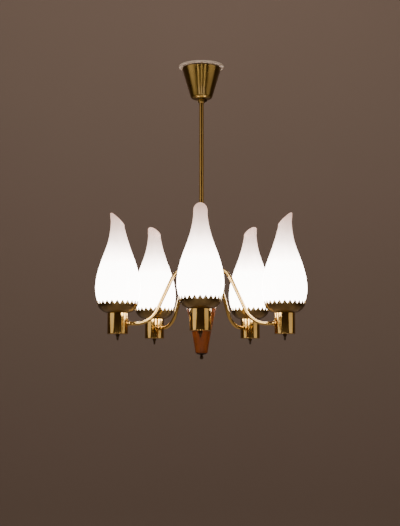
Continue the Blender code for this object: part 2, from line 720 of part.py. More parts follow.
def make_shade_mesh(glass):
    """A flame-shaped shell, open below, whose neck is cut on a slant that rises outwards."""
    width = CUP_RIM - COVER_RADIUS
    foot = [(CUP_BOTTOM + CUP_DEPTH * v, COVER_RADIUS + width * u) for u, v in SHADE_FOOT]
    knots = [(CROWN_TOP, CUP_TIP - CUP_WALL - SHADE_PLAY)]
    knots += [(CROWN_TOP + rise, radius) for rise, radius in SHADE_BODY]
    outer = [Vector((r, z)) for z, r in foot + smooth_curve(knots, SHADE_ROWS)]
    inner = []
    for i, point in enumerate(outer):
        ahead = (outer[min(i + 1, len(outer) - 1)] - outer[max(i - 1, 0)]).normalized()
        inner.append(point + Vector((-ahead.y, ahead.x)) * SHADE_WALL)
    inner[0] = Vector((outer[0].x - SHADE_WALL, outer[0].y))
    inner[-1].y = outer[-1].y
    bm = turned([tuple(p) for p in outer + inner[::-1]], SHADE_SIDES)
    for vert in bm.verts:
        share = max(1 - (SHADE_TIP - vert.co.z) / SHADE_NECK, 0)
        vert.co.x += SHADE_LEAN * share
    tip_radius = SHADE_BODY[-1][1] + SHADE_LEAN
    face = Vector((-math.sin(SHADE_SLANT), 0, math.cos(SHADE_SLANT)))
    cut = bmesh.ops.bisect_plane(
        bm,
        geom=bm.verts[:] + bm.edges[:] + bm.faces[:],
        plane_co=(tip_radius, 0, SHADE_TIP),
        plane_no=face,
        clear_outer=True,
    )
    edges = [item for item in cut["geom_cut"] if isinstance(item, bmesh.types.BMEdge)]
    bmesh.ops.bridge_loops(bm, edges=edges)
    return take_mesh(add_object("shade_pattern", bm, glass))


def make_cover(name, brass, place):
    """A plain cylinder with a closed floor, open above, drilled for its arm and its finial."""
    hole = STUD_RADIUS + GAP
    inside = COVER_RADIUS - COVER_WALL
    outline = rounded([
        (COVER_RADIUS, COVER_HEIGHT),
        (COVER_RADIUS, 0, COVER_EDGE),
        (hole, 0),
        (hole, COVER_WALL),
        (inside, COVER_WALL),
        (inside, COVER_HEIGHT),
    ], steps=2)
    cover = add_object(name, turned(outline, 16), brass, place)
    bore(cover, (-COVER_RADIUS * 1.2, 0, ARM_EXIT), (-COVER_RADIUS * 0.6, 0, ARM_EXIT), ARM_RADIUS + GAP, 10)


def socket_bm():
    """A lampholder insert: a thick tube with a floor, and a flange that clamps the cup."""
    floor = SOCKET_BOTTOM + SOCKET_FLOOR
    outline = [
        (FLANGE_RADIUS, FLANGE_TOP),
        (FLANGE_RADIUS, FLANGE_BOTTOM),
        (SOCKET_RADIUS, FLANGE_BOTTOM),
        (SOCKET_RADIUS, SOCKET_BOTTOM),
        (STUD_RADIUS + GAP, SOCKET_BOTTOM),
        (STUD_RADIUS + GAP, floor),
        (SOCKET_BORE, floor),
        (SOCKET_BORE, FLANGE_TOP),
    ]
    return turned(outline, SOCKET_SIDES)


def bulb_bm():
    """A bulb and its screw cap as one solid of revolution."""
    cap_top = CAP_BOTTOM + CAP_TIP + CAP_LENGTH
    centre = cap_top + BULB_GLASS_LENGTH - BULB_RADIUS
    shoulder = CAP_RADIUS - CAP_BEAD
    start = -math.acos(shoulder / BULB_RADIUS) * BULB_THROAT
    globe = arc((0, centre), BULB_RADIUS, start, math.pi / 2, 6)
    outline = [
        (0, CAP_BOTTOM),
        (CAP_RADIUS / 2, CAP_BOTTOM),
        (CAP_RADIUS, CAP_BOTTOM + CAP_TIP),
        (CAP_RADIUS, cap_top),
        (shoulder, cap_top + CAP_BEAD),
        (shoulder, FLANGE_TOP + CAP_BEAD),
        *globe[:-1],
        (0, centre + BULB_RADIUS),
    ]
    return turned(outline, 12)


def lamp_finial_bm():
    """A pointed drop below the cover, with a stud that screws up into the socket."""
    seat = -GAP
    outline = [
        (0, SOCKET_BOTTOM + SOCKET_FLOOR - GAP),
        (STUD_RADIUS, SOCKET_BOTTOM + SOCKET_FLOOR - GAP),
        (STUD_RADIUS, seat),
        (LAMP_FINIAL_TOP, seat),
        (LAMP_FINIAL_TOP, seat - LAMP_FINIAL_TOP_HEIGHT),
        (LAMP_FINIAL_WAIST, seat - LAMP_FINIAL_WAIST_DROP),
        (LAMP_FINIAL_TIP, seat - LAMP_FINIAL_LENGTH),
        (0, seat - LAMP_FINIAL_LENGTH),
    ]
    return turned(outline, 10)


def arm_nut_bm():
    """A collar nut on the arm, turned about Z and laid along the arm by its place."""
    hole = ARM_RADIUS + GAP
    outline = rounded([
        (ARM_NUT_RADIUS, ARM_NUT_LENGTH, ARM_NUT_EDGE),
        (ARM_NUT_RADIUS, 0, ARM_NUT_EDGE),
        (hole, 0),
        (hole, ARM_NUT_LENGTH),
    ], steps=1)
    return turned(outline, 10)


def make_lamps(materials):
    brass, glass = materials["brass"], materials["opal"]
    arm = take_mesh(add_object(
        "arm_pattern",
        pipe(arm_path(), Vector((0, 1, 0)), ARM_RADIUS, ARM_RADIUS - TUBE_WALL, 8),
        brass,
    ))
    cup = make_cup_mesh(brass)
    shade = make_shade_mesh(glass)
    socket = take_mesh(add_object("socket_pattern", socket_bm(), materials["bakelite"]))
    bulb = take_mesh(add_object("bulb_pattern", bulb_bm(), materials["bulb"]))
    finial = take_mesh(add_object("finial_pattern", lamp_finial_bm(), materials["dark_brass"]))
    nut = take_mesh(add_object("nut_pattern", arm_nut_bm(), brass))
    for number in range(1, LAMP_COUNT + 1):
        azimuth = FIRST_LAMP + math.tau * (number - 1) / LAMP_COUNT
        middle = add_place(f"arm_place_{number}", (0, 0, -LAMP_DROP), azimuth)
        centre = (LAMP_CIRCLE * math.cos(azimuth), LAMP_CIRCLE * math.sin(azimuth), -LAMP_DROP)
        place = add_place(f"lamp_place_{number}", centre, azimuth)
        place_mesh(f"arm_{number}", arm, brass, middle)
        make_cover(f"lampholder_cover_{number}", brass, place)
        collar = place_mesh(f"arm_nut_{number}", nut, brass, place)
        collar.location = (-COVER_RADIUS - GAP - ARM_NUT_LENGTH, 0, ARM_EXIT)
        collar.rotation_euler.y = math.radians(90)
        place_mesh(f"socket_{number}", socket, materials["bakelite"], place)
        place_mesh(f"cup_{number}", cup, brass, place)
        place_mesh(f"shade_{number}", shade, glass, place)
        place_mesh(f"bulb_{number}", bulb, materials["bulb"], place)
        place_mesh(f"lamp_finial_{number}", finial, materials["dark_brass"], place)


def main():
    clear_scene()
    materials = {
        "brass": make_material("polished_brass", "D8A850", 1, 0.25),
        "canopy_brass": make_material("canopy_brass", "A8803C", 1, 0.3),
        "dark_brass": make_material("dark_brass", "5A4526", 1, 0.4),
        "steel": make_material("zinc_steel", "A8A9A6", 1, 0.4),
        "paint": make_material("white_paint", "E6DED4", 0, 0.5),
        "bakelite": make_material("bakelite", "2A211C", 0, 0.45),
        "porcelain": make_material("porcelain", "EDE8DE", 0, 0.3),
        "opal": make_material("opal_glass", "F4ECE6", 0, 0.15),
        "bulb": make_material("frosted_bulb", "FFF3E0", 0, 0.3),
        "teak": make_material("oiled_teak", "7A3B17", 0, 0.45),
        "ebonised": make_material("black_disc", "1C1714", 0, 0.5),
    }
    make_ceiling_plate(materials["paint"])
    make_hook(materials["steel"])
    make_shackle(materials["steel"])
    make_shackle_pin(materials["steel"])
    make_stem_eye(materials["steel"])
    make_terminal_block(materials["porcelain"])
    make_canopy(materials["canopy_brass"])
    collar_place = make_canopy_collar(materials["canopy_brass"])
    make_collar_screw(materials["dark_brass"], collar_place)
    make_stem(materials["canopy_brass"])
    first_screw = make_hub(materials["brass"], materials["dark_brass"])
    make_teak_body(materials["teak"], first_screw)
    make_bottom(materials["ebonised"], materials["brass"])
    make_lamps(materials)
    bpy.context.view_layer.update()


main()
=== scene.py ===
"""Brass, glass and teak of a five-armed chandelier, modelled around its CAD frame.

The frame hangs down from the middle of the ceiling plate. Lamp pieces are modelled
on a lamp's own axis, with +X pointing away from the stem and height counted from the
underside of the lampholder cover, and are then copied to the five lamps.
"""

import json
import math

import bmesh
import bpy
from bpy.props import FloatProperty, FloatVectorProperty, IntProperty, PointerProperty
from mathutils import Matrix, Vector


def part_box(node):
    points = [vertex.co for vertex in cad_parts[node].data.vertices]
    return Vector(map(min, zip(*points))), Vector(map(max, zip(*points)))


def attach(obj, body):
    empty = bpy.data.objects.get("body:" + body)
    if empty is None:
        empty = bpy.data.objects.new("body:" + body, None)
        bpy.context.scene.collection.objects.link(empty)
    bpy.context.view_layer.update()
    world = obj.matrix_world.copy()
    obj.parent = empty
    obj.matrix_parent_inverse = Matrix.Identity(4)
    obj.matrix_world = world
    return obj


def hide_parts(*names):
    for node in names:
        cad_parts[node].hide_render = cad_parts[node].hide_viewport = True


bl_info = {
    "name": "Five-armed chandelier",
    "version": (1, 0, 0),
    "blender": (4, 5, 0),
    "location": "3D Viewport > Sidebar > Chandelier",
    "description": "Models a brass chandelier with opal shades and a teak body around its frame",
    "category": "Add Mesh",
}

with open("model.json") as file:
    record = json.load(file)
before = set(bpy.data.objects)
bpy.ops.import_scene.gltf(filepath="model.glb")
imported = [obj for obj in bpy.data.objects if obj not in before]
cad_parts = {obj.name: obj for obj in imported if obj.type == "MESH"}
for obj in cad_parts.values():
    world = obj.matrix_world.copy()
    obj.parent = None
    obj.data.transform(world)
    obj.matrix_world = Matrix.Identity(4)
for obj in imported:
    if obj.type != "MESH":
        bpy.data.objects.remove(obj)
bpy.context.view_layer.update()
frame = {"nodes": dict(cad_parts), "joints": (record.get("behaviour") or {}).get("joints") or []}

MM = 0.001
WELD = 1e-6  # points this close are one point
OWN_PLACE = "own_place"  # attribute with each point's place on the piece's own axis


# ---------------------------------------------------------------- places from the frame


def low(node):
    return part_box(node)[0]


def high(node):
    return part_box(node)[1]


def middle(node):
    return (low(node) + high(node)) / 2


LAMPS = range(1, 1 + sum(name.startswith("shade_") for name in frame["nodes"]))
LAMP_FOOT = low("lampholder_cover_1").z
LAMP_CIRCLE = middle("lampholder_cover_1").xy.length
COVER_RADIUS = high("lampholder_cover_1").x
COVER_HEIGHT = high("lampholder_cover_1").z - LAMP_FOOT
ARM_RADIUS = high("arm_1").x
ARM_EXIT = middle("arm_nut_1").z - LAMP_FOOT

# A hole is this many times as wide as what goes through it.
STEM_FIT = 1.04
CANOPY_FIT = 1.05
ARM_FIT = 1.07
PIN_FIT = 1.1
SCREW_FIT = 1.15
SEAT_GAP = 0.3 * MM  # between a screwed-on piece and the one that it sits on


def joint_axis(name):
    return next(Vector(joint["axis"]) for joint in frame["joints"] if joint["name"] == name)


def lamp_turn(number):
    centre = middle(f"lampholder_cover_{number}")
    return Matrix.Rotation(math.atan2(centre.y, centre.x), 4, "Z")


def lamp_place(number):
    centre = middle(f"lampholder_cover_{number}")
    return Matrix.Translation((centre.x, centre.y, LAMP_FOOT)) @ lamp_turn(number)


def arm_place(number):
    return Matrix.Translation((0, 0, LAMP_FOOT)) @ lamp_turn(number)


def lamp_span(node):
    """Heights of a piece's foot and top on its lamp's own axis."""
    return low(node).z - LAMP_FOOT, high(node).z - LAMP_FOOT


# ---------------------------------------------------------------- sizes and colours


def length(name, description, millimetres):
    return FloatProperty(
        name=name,
        description=description,
        default=millimetres * MM,
        min=0.0,
        unit="LENGTH",
        precision=4,
    )


def angle(name, description, degrees):
    return FloatProperty(
        name=name, description=description, default=math.radians(degrees), subtype="ANGLE"
    )


def linear(hex_colour):
    """Linear RGB of an sRGB colour written as six hex digits."""
    channels = [int(hex_colour[i : i + 2], 16) / 255 for i in (0, 2, 4)]
    return [c / 12.92 if c <= 0.04045 else ((c + 0.055) / 1.055) ** 2.4 for c in channels]


def colour(name, description, hex_colour):
    return FloatVectorProperty(
        name=name,
        description=description,
        default=linear(hex_colour),
        subtype="COLOR",
        min=0.0,
        max=1.0,
    )


def count(name, description, number):
    return IntProperty(name=name, description=description, default=number, min=6)


class ChandelierHangerSizes(bpy.types.PropertyGroup):
    """Ceiling plate, hook, shackle, stem eye and terminal block."""

    plate_thickness: length("Plate thickness", "Of the painted ceiling plate", 4)
    plate_edge: length("Plate edge", "Rounding of the plate's lower edge", 2)
    boss_radius: length("Boss radius", "Of the boss that the hook screws into", 7)
    fixing_circle: length("Fixing circle", "Distance of the fixing holes from the middle", 32)
    fixing_radius: length("Fixing hole", "Radius of a fixing hole", 2.2)
    hook_turn: angle("Hook swing", "How far the shank swings out before it turns back", 60)
    hook_reach: angle("Hook reach", "How far the eye of the hook goes round", 265)
    strap_thickness: length("Strap thickness", "Of the bent shackle strap", 2)
    pin_radius: length("Pin radius", "Of the pin through the shackle", 1.5)
    pin_head_length: length("Pin head", "Thickness of the pin's heads", 1.5)
    stud_length: length("Stem stud", "Length of the eye's stud inside the stem", 12)
    block_hole: length("Wire way", "Radius of a way through the terminal block", 2)


class ChandelierCanopySizes(bpy.types.PropertyGroup):
    """Canopy, the collar that holds it and the collar's set screw."""

    floor_radius: length("Floor radius", "Of the canopy's floor, before its corner is rounded", 23)
    corner: length("Corner", "Rounding between the canopy's side and its floor", 8)
    wall: length("Wall", "Thickness of the spun brass", 1.2)
    collar_edge: length("Collar edge", "Rounding of the collar's edges", 2.8)
    screw_radius: length("Screw radius", "Of the set screw's shank", 1.5)
    screw_head: length("Screw head", "Radius of the knurled head", 3.3)
    screw_head_length: length("Head length", "Of the knurled head", 4.5)
    screw_ribs: count("Knurl ribs", "Round the set screw's head", 22)


class ChandelierHubSizes(bpy.types.PropertyGroup):
    """Stem tube, hub plate with its fastenings, teak body, disc and bottom finial."""

    tube_wall: length("Tube wall", "Of the stem and the arms", 1)
    arm_circle: length("Arm circle", "Distance of the arms' feet from the middle", 18.5)
    screw_head_height: length("Screw head height", "Of the hub's screws", 1.6)
    screw_radius: length("Screw radius", "Of the hub's screws", 1.4)
    slot: length("Slot", "Width of a screwdriver slot", 0.7)
    teak_foot: length("Teak foot radius", "Radius at the lower end of the body", 13)
    teak_hollow: length("Teak hollow", "How far the side curves in from a straight line", 1.2)
    teak_edge: length("Teak edge", "Rounding of the turned edges", 1.5)
    teak_wall: length("Teak wall", "Wood around the wiring chamber", 8.5)
    chamber_depth: length("Chamber depth", "Of the wiring chamber in the wood", 18)
    disc_edge: length("Disc edge", "Rounding of the dark disc", 0.4)
    stud_radius: length("Stud radius", "Of the finials' threaded studs", 2)
    stud_length: length("Stud length", "Of the stud in the wood", 16)
    finial_flare: length("Finial flare", "Radius of the bottom finial's seat", 5)
    finial_neck: length("Finial neck", "Radius of the bottom finial's neck", 2.75)
    finial_knob: length("Finial knob", "Radius of the bottom finial's knob", 4.1)


class ChandelierLampSizes(bpy.types.PropertyGroup):
    """Arms, lampholder covers, sockets, cups, bulbs and the lamps' finials."""

    inner_bend: length("Inner bend", "Radius of the arm's first bend", 19.5)
    upper_bend: length("Upper bend", "Radius of the arch's outer half", 33)
    lower_bend: length("Lower bend", "Radius of the bend above the lampholder", 54)
    level_run: length("Level run", "Straight stretch before the lampholder", 17.4)
    nut_edge: length("Nut edge", "Rounding of the arm's collar nut", 0.8)
    cover_wall: length("Cover wall", "Thickness of the lampholder cover", 1.2)
    cover_edge: length("Cover edge", "Rounding of the cover's lower edge", 1.2)
    flange: length("Flange", "Thickness of the socket's flange", 2.5)
    socket_bore: length("Socket bore", "Radius inside the socket", 13.85)
    socket_wall: length("Socket wall", "Thickness of the socket's side", 3.6)
    socket_floor: length("Socket floor", "Thickness of the socket's floor", 5)
    cup_tip: length("Crown", "Radius at the teeth's tips", 45)
    cup_tooth: length("Tooth", "Height of the crown's teeth", 7.6)
    cup_wall: length("Cup wall", "Thickness of the cup", 0.9)
    teeth: count("Teeth", "Round the cup's crown", 24)
    bulb_radius: length("Bulb radius", "Of the globe", 22.5)
    cap_radius: length("Cap radius", "Of the bulb's screw cap", 13.2)
    cap_length: length("Cap length", "Of the threaded part", 26)
    thread_pitch: length("Thread pitch", "Of the bulb's screw cap", 3.6)
    finial_top: length("Finial radius", "At the seat of the lamp's finial", 4.5)


class ChandelierShadeSizes(bpy.types.PropertyGroup):
    """The flame-shaped glass shade."""

    wall: length("Wall", "Thickness of the glass", 2.6)
    lip: length("Lip", "Rounding of the fire-polished lips", 0.9)
    slant: angle("Slant", "Of the mouth, rising away from the stem", 40.5)
    lean: length("Lean", "How far the tip leans out", 3.4)
    neck_length: length("Neck length", "Of the part that leans", 64)


class ChandelierColours(bpy.types.PropertyGroup):
    """Colours of the materials."""

    brass: colour("Brass", "Polished and lacquered brass", "DDB96C")
    brass_dull: colour("Dulled brass", "Brass under old lacquer", "A98643")
    canopy: colour("Canopy brass", "Spun brass, aged", "A68C4C")
    canopy_dull: colour("Canopy tarnish", "Tarnish on the canopy", "826A35")
    stem: colour("Stem brass", "Drawn tube, lacquered", "A98A4E")
    patina: colour("Cup brass", "Brass of the cups, browned", "A48C5C")
    patina_dark: colour("Cup tarnish", "Tarnish on the cups", "75613C")
    dark_brass: colour("Dark brass", "Finials and screws", "4A3722")
    teak: colour("Teak", "Early wood, oiled", "743808")
    teak_dark: colour("Teak grain", "Late wood", "3A1904")
    ebony: colour("Ebonised wood", "The dark disc", "2A211B")
    ebony_dark: colour("Ebonised grain", "Grain of the dark disc", "0E0B09")
    opal: colour("Opal glass", "The glass itself", "A89C96")
    glow: colour("Lit glass", "Light through the belly", "FFF4EC")
    glow_tip: colour("Lit tip", "Light through the neck", "E9BBA9")
    bakelite: colour("Bakelite", "Sockets", "33241B")
    porcelain: colour("Porcelain", "Terminal block", "EEEAE0")
    zinc: colour("Zinc", "Plated steel of the hanger", "B4B7B8")
    paint: colour("Plate paint", "Ceiling plate", "E6D6C6")
    paper: colour("Floor paper", "The pale floor", "D9CFC6")
    wall: colour("Backdrop", "The wall behind", "75685F")


SETTINGS = {
    "chandelier_hanger": ChandelierHangerSizes,
    "chandelier_canopy": ChandelierCanopySizes,
    "chandelier_hub": ChandelierHubSizes,
    "chandelier_lamp": ChandelierLampSizes,
    "chandelier_shade": ChandelierShadeSizes,
    "chandelier_colours": ChandelierColours,
}


# ---------------------------------------------------------------- outlines

# (radius, height) in millimetres, counted from the underside of the lampholder cover.
CUP_KNOTS = [(17.75, 45.6), (22.5, 45.6), (31, 48.5), (37, 52.8), (41.5, 58), (43.9, 63.6)]
SHADE_KNOTS = [
    (30.5, 51.5),
    (37.1, 57.0),
    (42.4, 68.6),
    (45.9, 77),
    (48.9, 98),
    (46, 126),
    (37.7, 156),
    (26.8, 186),
    (19.4, 211),
    (15.1, 236),
    (14.7, 250.94),
]
TOOTH_TIP = 0.12  # width of a tooth's tip, as a share of its foot
SLANT_START = 200  # where the shade's rows begin to tilt towards the slant of its mouth


def arc(centre, radius, start, end, steps):
    """Points on an arc about centre, from one angle to another, both ends included."""
    turns = [start + (end - start) * i / steps for i in range(steps + 1)]
    return [(centre[0] + radius * math.cos(t), centre[1] + radius * math.sin(t)) for t in turns]


def rounded(corners, steps=5):
    """An outline of (radius, height) or (radius, height, rounding) corners."""
    points = []
    for i, corner in enumerate(corners):
        here = Vector(corner[:2])
        if len(corner) == 2:
            points.append(tuple(here))
            continue
        before = (Vector(corners[i - 1][:2]) - here).normalized()
        after = (Vector(corners[(i + 1) % len(corners)][:2]) - here).normalized()
        half = before.angle(after) / 2
        centre = here + (before + after).normalized() * corner[2] / math.sin(half)
        first = here + before * corner[2] / math.tan(half) - centre
        last = here + after * corner[2] / math.tan(half) - centre
        for step in range(steps + 1):
            spoke = first.slerp(last, step / steps).normalized()
            points.append(tuple(centre + spoke * corner[2]))
    return points


def smooth_line(knots, steps):
    """A smooth line through (radius, height) knots, with this many steps between two."""
    knots = [Vector(knot) for knot in knots]
    at = [0.0]
    for before, after in zip(knots, knots[1:]):
        at.append(at[-1] + (after - before).length)
    last = len(knots) - 1
    slopes = []
    for i in range(len(knots)):
        a, b = max(i - 1, 0), min(i + 1, last)
        slopes.append((knots[b] - knots[a]) / (at[b] - at[a]))
    points = [tuple(knots[0])]
    for i in range(last):
        span = at[i + 1] - at[i]
        for step in range(1, steps + 1):
            t = step / steps
            point = (2 * t**3 - 3 * t**2 + 1) * knots[i] + (3 * t**2 - 2 * t**3) * knots[i + 1]
            point += span * ((t**3 - 2 * t**2 + t) * slopes[i] + (t**3 - t**2) * slopes[i + 1])
            points.append(tuple(point))
    return points


# ---------------------------------------------------------------- modelling


def begin(name, add_primitive, **settings):
    """Adds a primitive as a new piece and opens it in edit mode, all of it selected."""
    bpy.ops.object.select_all(action="DESELECT")
    add_primitive(**settings)
    piece = bpy.context.object
    piece.name = name
    piece.data.name = name
    bpy.ops.object.mode_set(mode="EDIT")
    return piece


def select_where(piece, test):
    """Selects the points of the open piece that pass the test, and no others."""
    bpy.ops.mesh.select_mode(type="VERT")
    bpy.ops.mesh.select_all(action="DESELECT")
    shape = bmesh.from_edit_mesh(piece.data)
    for vert in shape.verts:
        vert.select_set(bool(test(vert)))
    shape.select_flush_mode()
    bmesh.update_edit_mesh(piece.data)


def extrude(step):
    bpy.ops.mesh.extrude_region_move(TRANSFORM_OT_translate={"value": tuple(step)})


def bend(centre, axis, turn, steps):
    """Carries the selected ring round a bend, right-handed about the axis."""
    bpy.ops.mesh.spin(steps=steps, angle=turn, center=tuple(centre), axis=tuple(-Vector(axis)))


def heal():
    """Merges doubled points of the open piece and turns its faces out."""
    bpy.ops.mesh.select_all(action="SELECT")
    bpy.ops.mesh.remove_doubles(threshold=WELD)
    bpy.ops.mesh.normals_make_consistent(inside=False)


def finish(piece, smooth=35):
    """Closes edit mode, puts the piece's place in its mesh and smooths its round sides."""
    bpy.ops.object.mode_set(mode="OBJECT")
    bpy.ops.object.transform_apply(location=True, rotation=True, scale=True)
    bpy.ops.object.shade_smooth_by_angle(angle=math.radians(smooth))
    return piece


def draw_profile(name, outline):
    """Draws an outline of (radius, height) points in the XZ plane, left open in edit mode."""
    piece = begin(name, bpy.ops.mesh.primitive_plane_add, size=MM, location=(0, 0, 0))
    bpy.ops.mesh.merge(type="CENTER")
    bpy.ops.transform.translate(value=(outline[0][0], 0, outline[0][1]))
    for before, after in zip(outline, outline[1:]):
        step = (after[0] - before[0], 0, after[1] - before[1])
        bpy.ops.mesh.extrude_vertices_move(TRANSFORM_OT_translate={"value": step})
    bpy.ops.mesh.select_all(action="SELECT")
    return piece


def turned(name, outline, sides, smooth=35):
    """A piece turned about Z. Its outline starts and ends on the axis, or is closed here."""
    closed = outline if outline[0][0] == 0 else [*outline, outline[0]]
    piece = draw_profile(name, closed)
    bpy.ops.mesh.remove_doubles(threshold=WELD)
    bpy.ops.mesh.spin(steps=sides, angle=math.tau, center=(0, 0, 0), axis=(0, 0, 1))
    heal()
    return finish(piece, smooth)


def use(piece):
    """Makes the piece the only one selected, and the active one."""
    bpy.ops.object.select_all(action="DESELECT")
    piece.select_set(True)
    bpy.context.view_layer.objects.active = piece


def modify(piece, kind, **settings):
    """Adds a modifier and applies it."""
    use(piece)
    modifier = piece.modifiers.new(kind.title(), kind)
    for key, value in settings.items():
        setattr(modifier, key, value)
    bpy.ops.object.modifier_apply(modifier=modifier.name)


def soften(piece, width, smooth=35, segments=2, over=40):
    """Rounds every edge that is sharper than an angle."""
    modify(
        piece,
        "BEVEL",
        width=width,
        segments=segments,
        limit_method="ANGLE",
        angle_limit=math.radians(over),
    )
    bpy.ops.object.shade_smooth_by_angle(angle=math.radians(smooth))


def face_out(piece):
    """Turns the faces of an open sheet away from its axis."""
    outward = sum(
        face.normal.dot(Vector((*face.center.xy, 0))) * face.area for face in piece.data.polygons
    )
    if outward < 0:
        use(piece)
        bpy.ops.object.mode_set(mode="EDIT")
        bpy.ops.mesh.select_all(action="SELECT")
        bpy.ops.mesh.flip_normals()
        bpy.ops.object.mode_set(mode="OBJECT")


def thicken(piece, wall):
    """Gives a sheet its wall, inwards from its outer face."""
    modify(piece, "SOLIDIFY", thickness=wall, offset=-1, use_even_offset=True)


def cut(piece, cutter):
    """Cuts the cutter's shape out of the piece, and removes the cutter."""
    modify(piece, "BOOLEAN", operation="DIFFERENCE", solver="EXACT", object=cutter)
    bpy.data.objects.remove(cutter)


def drill(piece, start, end, radius, sides=32):
    """Drills a round hole from start to end."""
    along = Vector(end) - Vector(start)
    bpy.ops.object.select_all(action="DESELECT")
    bpy.ops.mesh.primitive_cylinder_add(
        vertices=sides,
        radius=radius,
        depth=along.length,
        location=(Vector(start) + Vector(end)) / 2,
        rotation=along.to_track_quat("Z", "Y").to_euler(),
    )
    cut(piece, bpy.context.object)


def saw_slot(piece, centre, width, across, depth):
    """Saws a straight slot along Y, with its top at the centre's height."""
    bpy.ops.object.select_all(action="DESELECT")
    bpy.ops.mesh.primitive_cube_add(size=1, location=centre, scale=(width, across, 2 * depth))
    cut(piece, bpy.context.object)


def box(name, lowest, highest, edge):
    """A block between two corners, its edges rounded."""
    lowest, highest = Vector(lowest), Vector(highest)
    piece = begin(
        name,
        bpy.ops.mesh.primitive_cube_add,
        size=1,
        location=(lowest + highest) / 2,
        scale=highest - lowest,
    )
    finish(piece)
    soften(piece, edge, segments=3)
    return piece


def tube(name, start, radius, route, sides=32):
    """A ring carried along a route of moves and bends, both open in edit mode."""
    piece = begin(
        name,
        bpy.ops.mesh.primitive_circle_add,
        vertices=sides,
        radius=radius,
        location=start,
    )
    for step, *settings in route:
        step(*settings)
    return piece


def close_ends():
    bpy.ops.mesh.select_all(action="SELECT")
    bpy.ops.mesh.fill_holes(sides=0)
    heal()


def keep_own_place(piece):
    """Stores where each point lies on the piece's own axis, which its materials read."""
    places = [0.0] * (3 * len(piece.data.vertices))
    piece.data.vertices.foreach_get("co", places)
    attribute = piece.data.attributes.new(OWN_PLACE, "FLOAT_VECTOR", "POINT")
    attribute.data.foreach_set("vector", places)


def dress(piece, material, body, slot, *nodes):
    """Gives a piece its material and its body, and hides the CAD nodes that it stands for."""
    piece.data.materials.append(bpy.data.materials[material])
    if OWN_PLACE not in piece.data.attributes:
        keep_own_place(piece)
    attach(piece, body)
    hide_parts(*nodes)


def copy_to(piece, name, place):
    """A copy of the piece with its own mesh, put at a place."""
    use(piece)
    bpy.ops.object.duplicate()
    copy = bpy.context.object
    copy.name = name
    copy.data.name = name
    copy.matrix_world = place
    bpy.ops.object.transform_apply(location=True, rotation=True, scale=True)
    return copy


def copy_to_lamps(piece, material, body, slot, node, place=lamp_place):
    """Gives each lamp its copy. The body and the node are named with the lamp's number."""
    keep_own_place(piece)
    for number in LAMPS:
        copy = copy_to(piece, f"{piece.name}_lamp_{number}", place(number))
        dress(copy, material, body.format(number), slot, node.format(number))
    bpy.data.objects.remove(piece)


# ---------------------------------------------------------------- materials

GLOW = 14.0  # strength of the light in the shades' bellies
# Share of that light at each share of the shade's height, from its foot to its tip.
POWER_UP_THE_SHADE = [
    (0.0, 0.9),
    (0.12, 1.0),
    (0.5, 0.95),
    (0.62, 0.6),
    (0.74, 0.3),
    (0.86, 0.16),
    (1.0, 0.1),
]
# A colour Mix node has several sockets of one name, so they are given by number.
MIX_SHARE, MIX_FIRST, MIX_SECOND, MIXED = 0, 6, 7, 2


def add_node(tree, kind, inputs=(), stops=(), **settings):
    """Adds a shader node with its settings, its values or links, and its colour stops."""
    node = tree.nodes.new(kind)
    for key, value in settings.items():
        setattr(node, key, value)
    for i, (position, shade) in enumerate(stops):
        ramp = node.color_ramp.elements
        stop = ramp[i] if i < len(ramp) else ramp.new(position)
        stop.position = position
        stop.color = (*shade, 1) if hasattr(shade, "__len__") else (shade, shade, shade, 1)
    for key, value in dict(inputs).items():
        socket = node.inputs[key]
        if isinstance(value, bpy.types.NodeSocket):
            tree.links.new(value, socket)
        elif socket.type == "RGBA":
            socket.default_value = (*value, 1)
        else:
            socket.default_value = value
    return node


def new_material(name):
    """An empty material, its tree and the socket with each point's own place."""
    material = bpy.data.materials.new(name)
    material.use_nodes = True
    tree = material.node_tree
    tree.nodes.clear()
    place = add_node(tree, "ShaderNodeAttribute", attribute_name=OWN_PLACE)
    return tree, place.outputs["Vector"]


def darker(shade, share):
    return [channel * share for channel in shade]


def per_metre(millimetres):
    """The scale of a noise whose features are this big."""
    return 1 / (millimetres * MM)


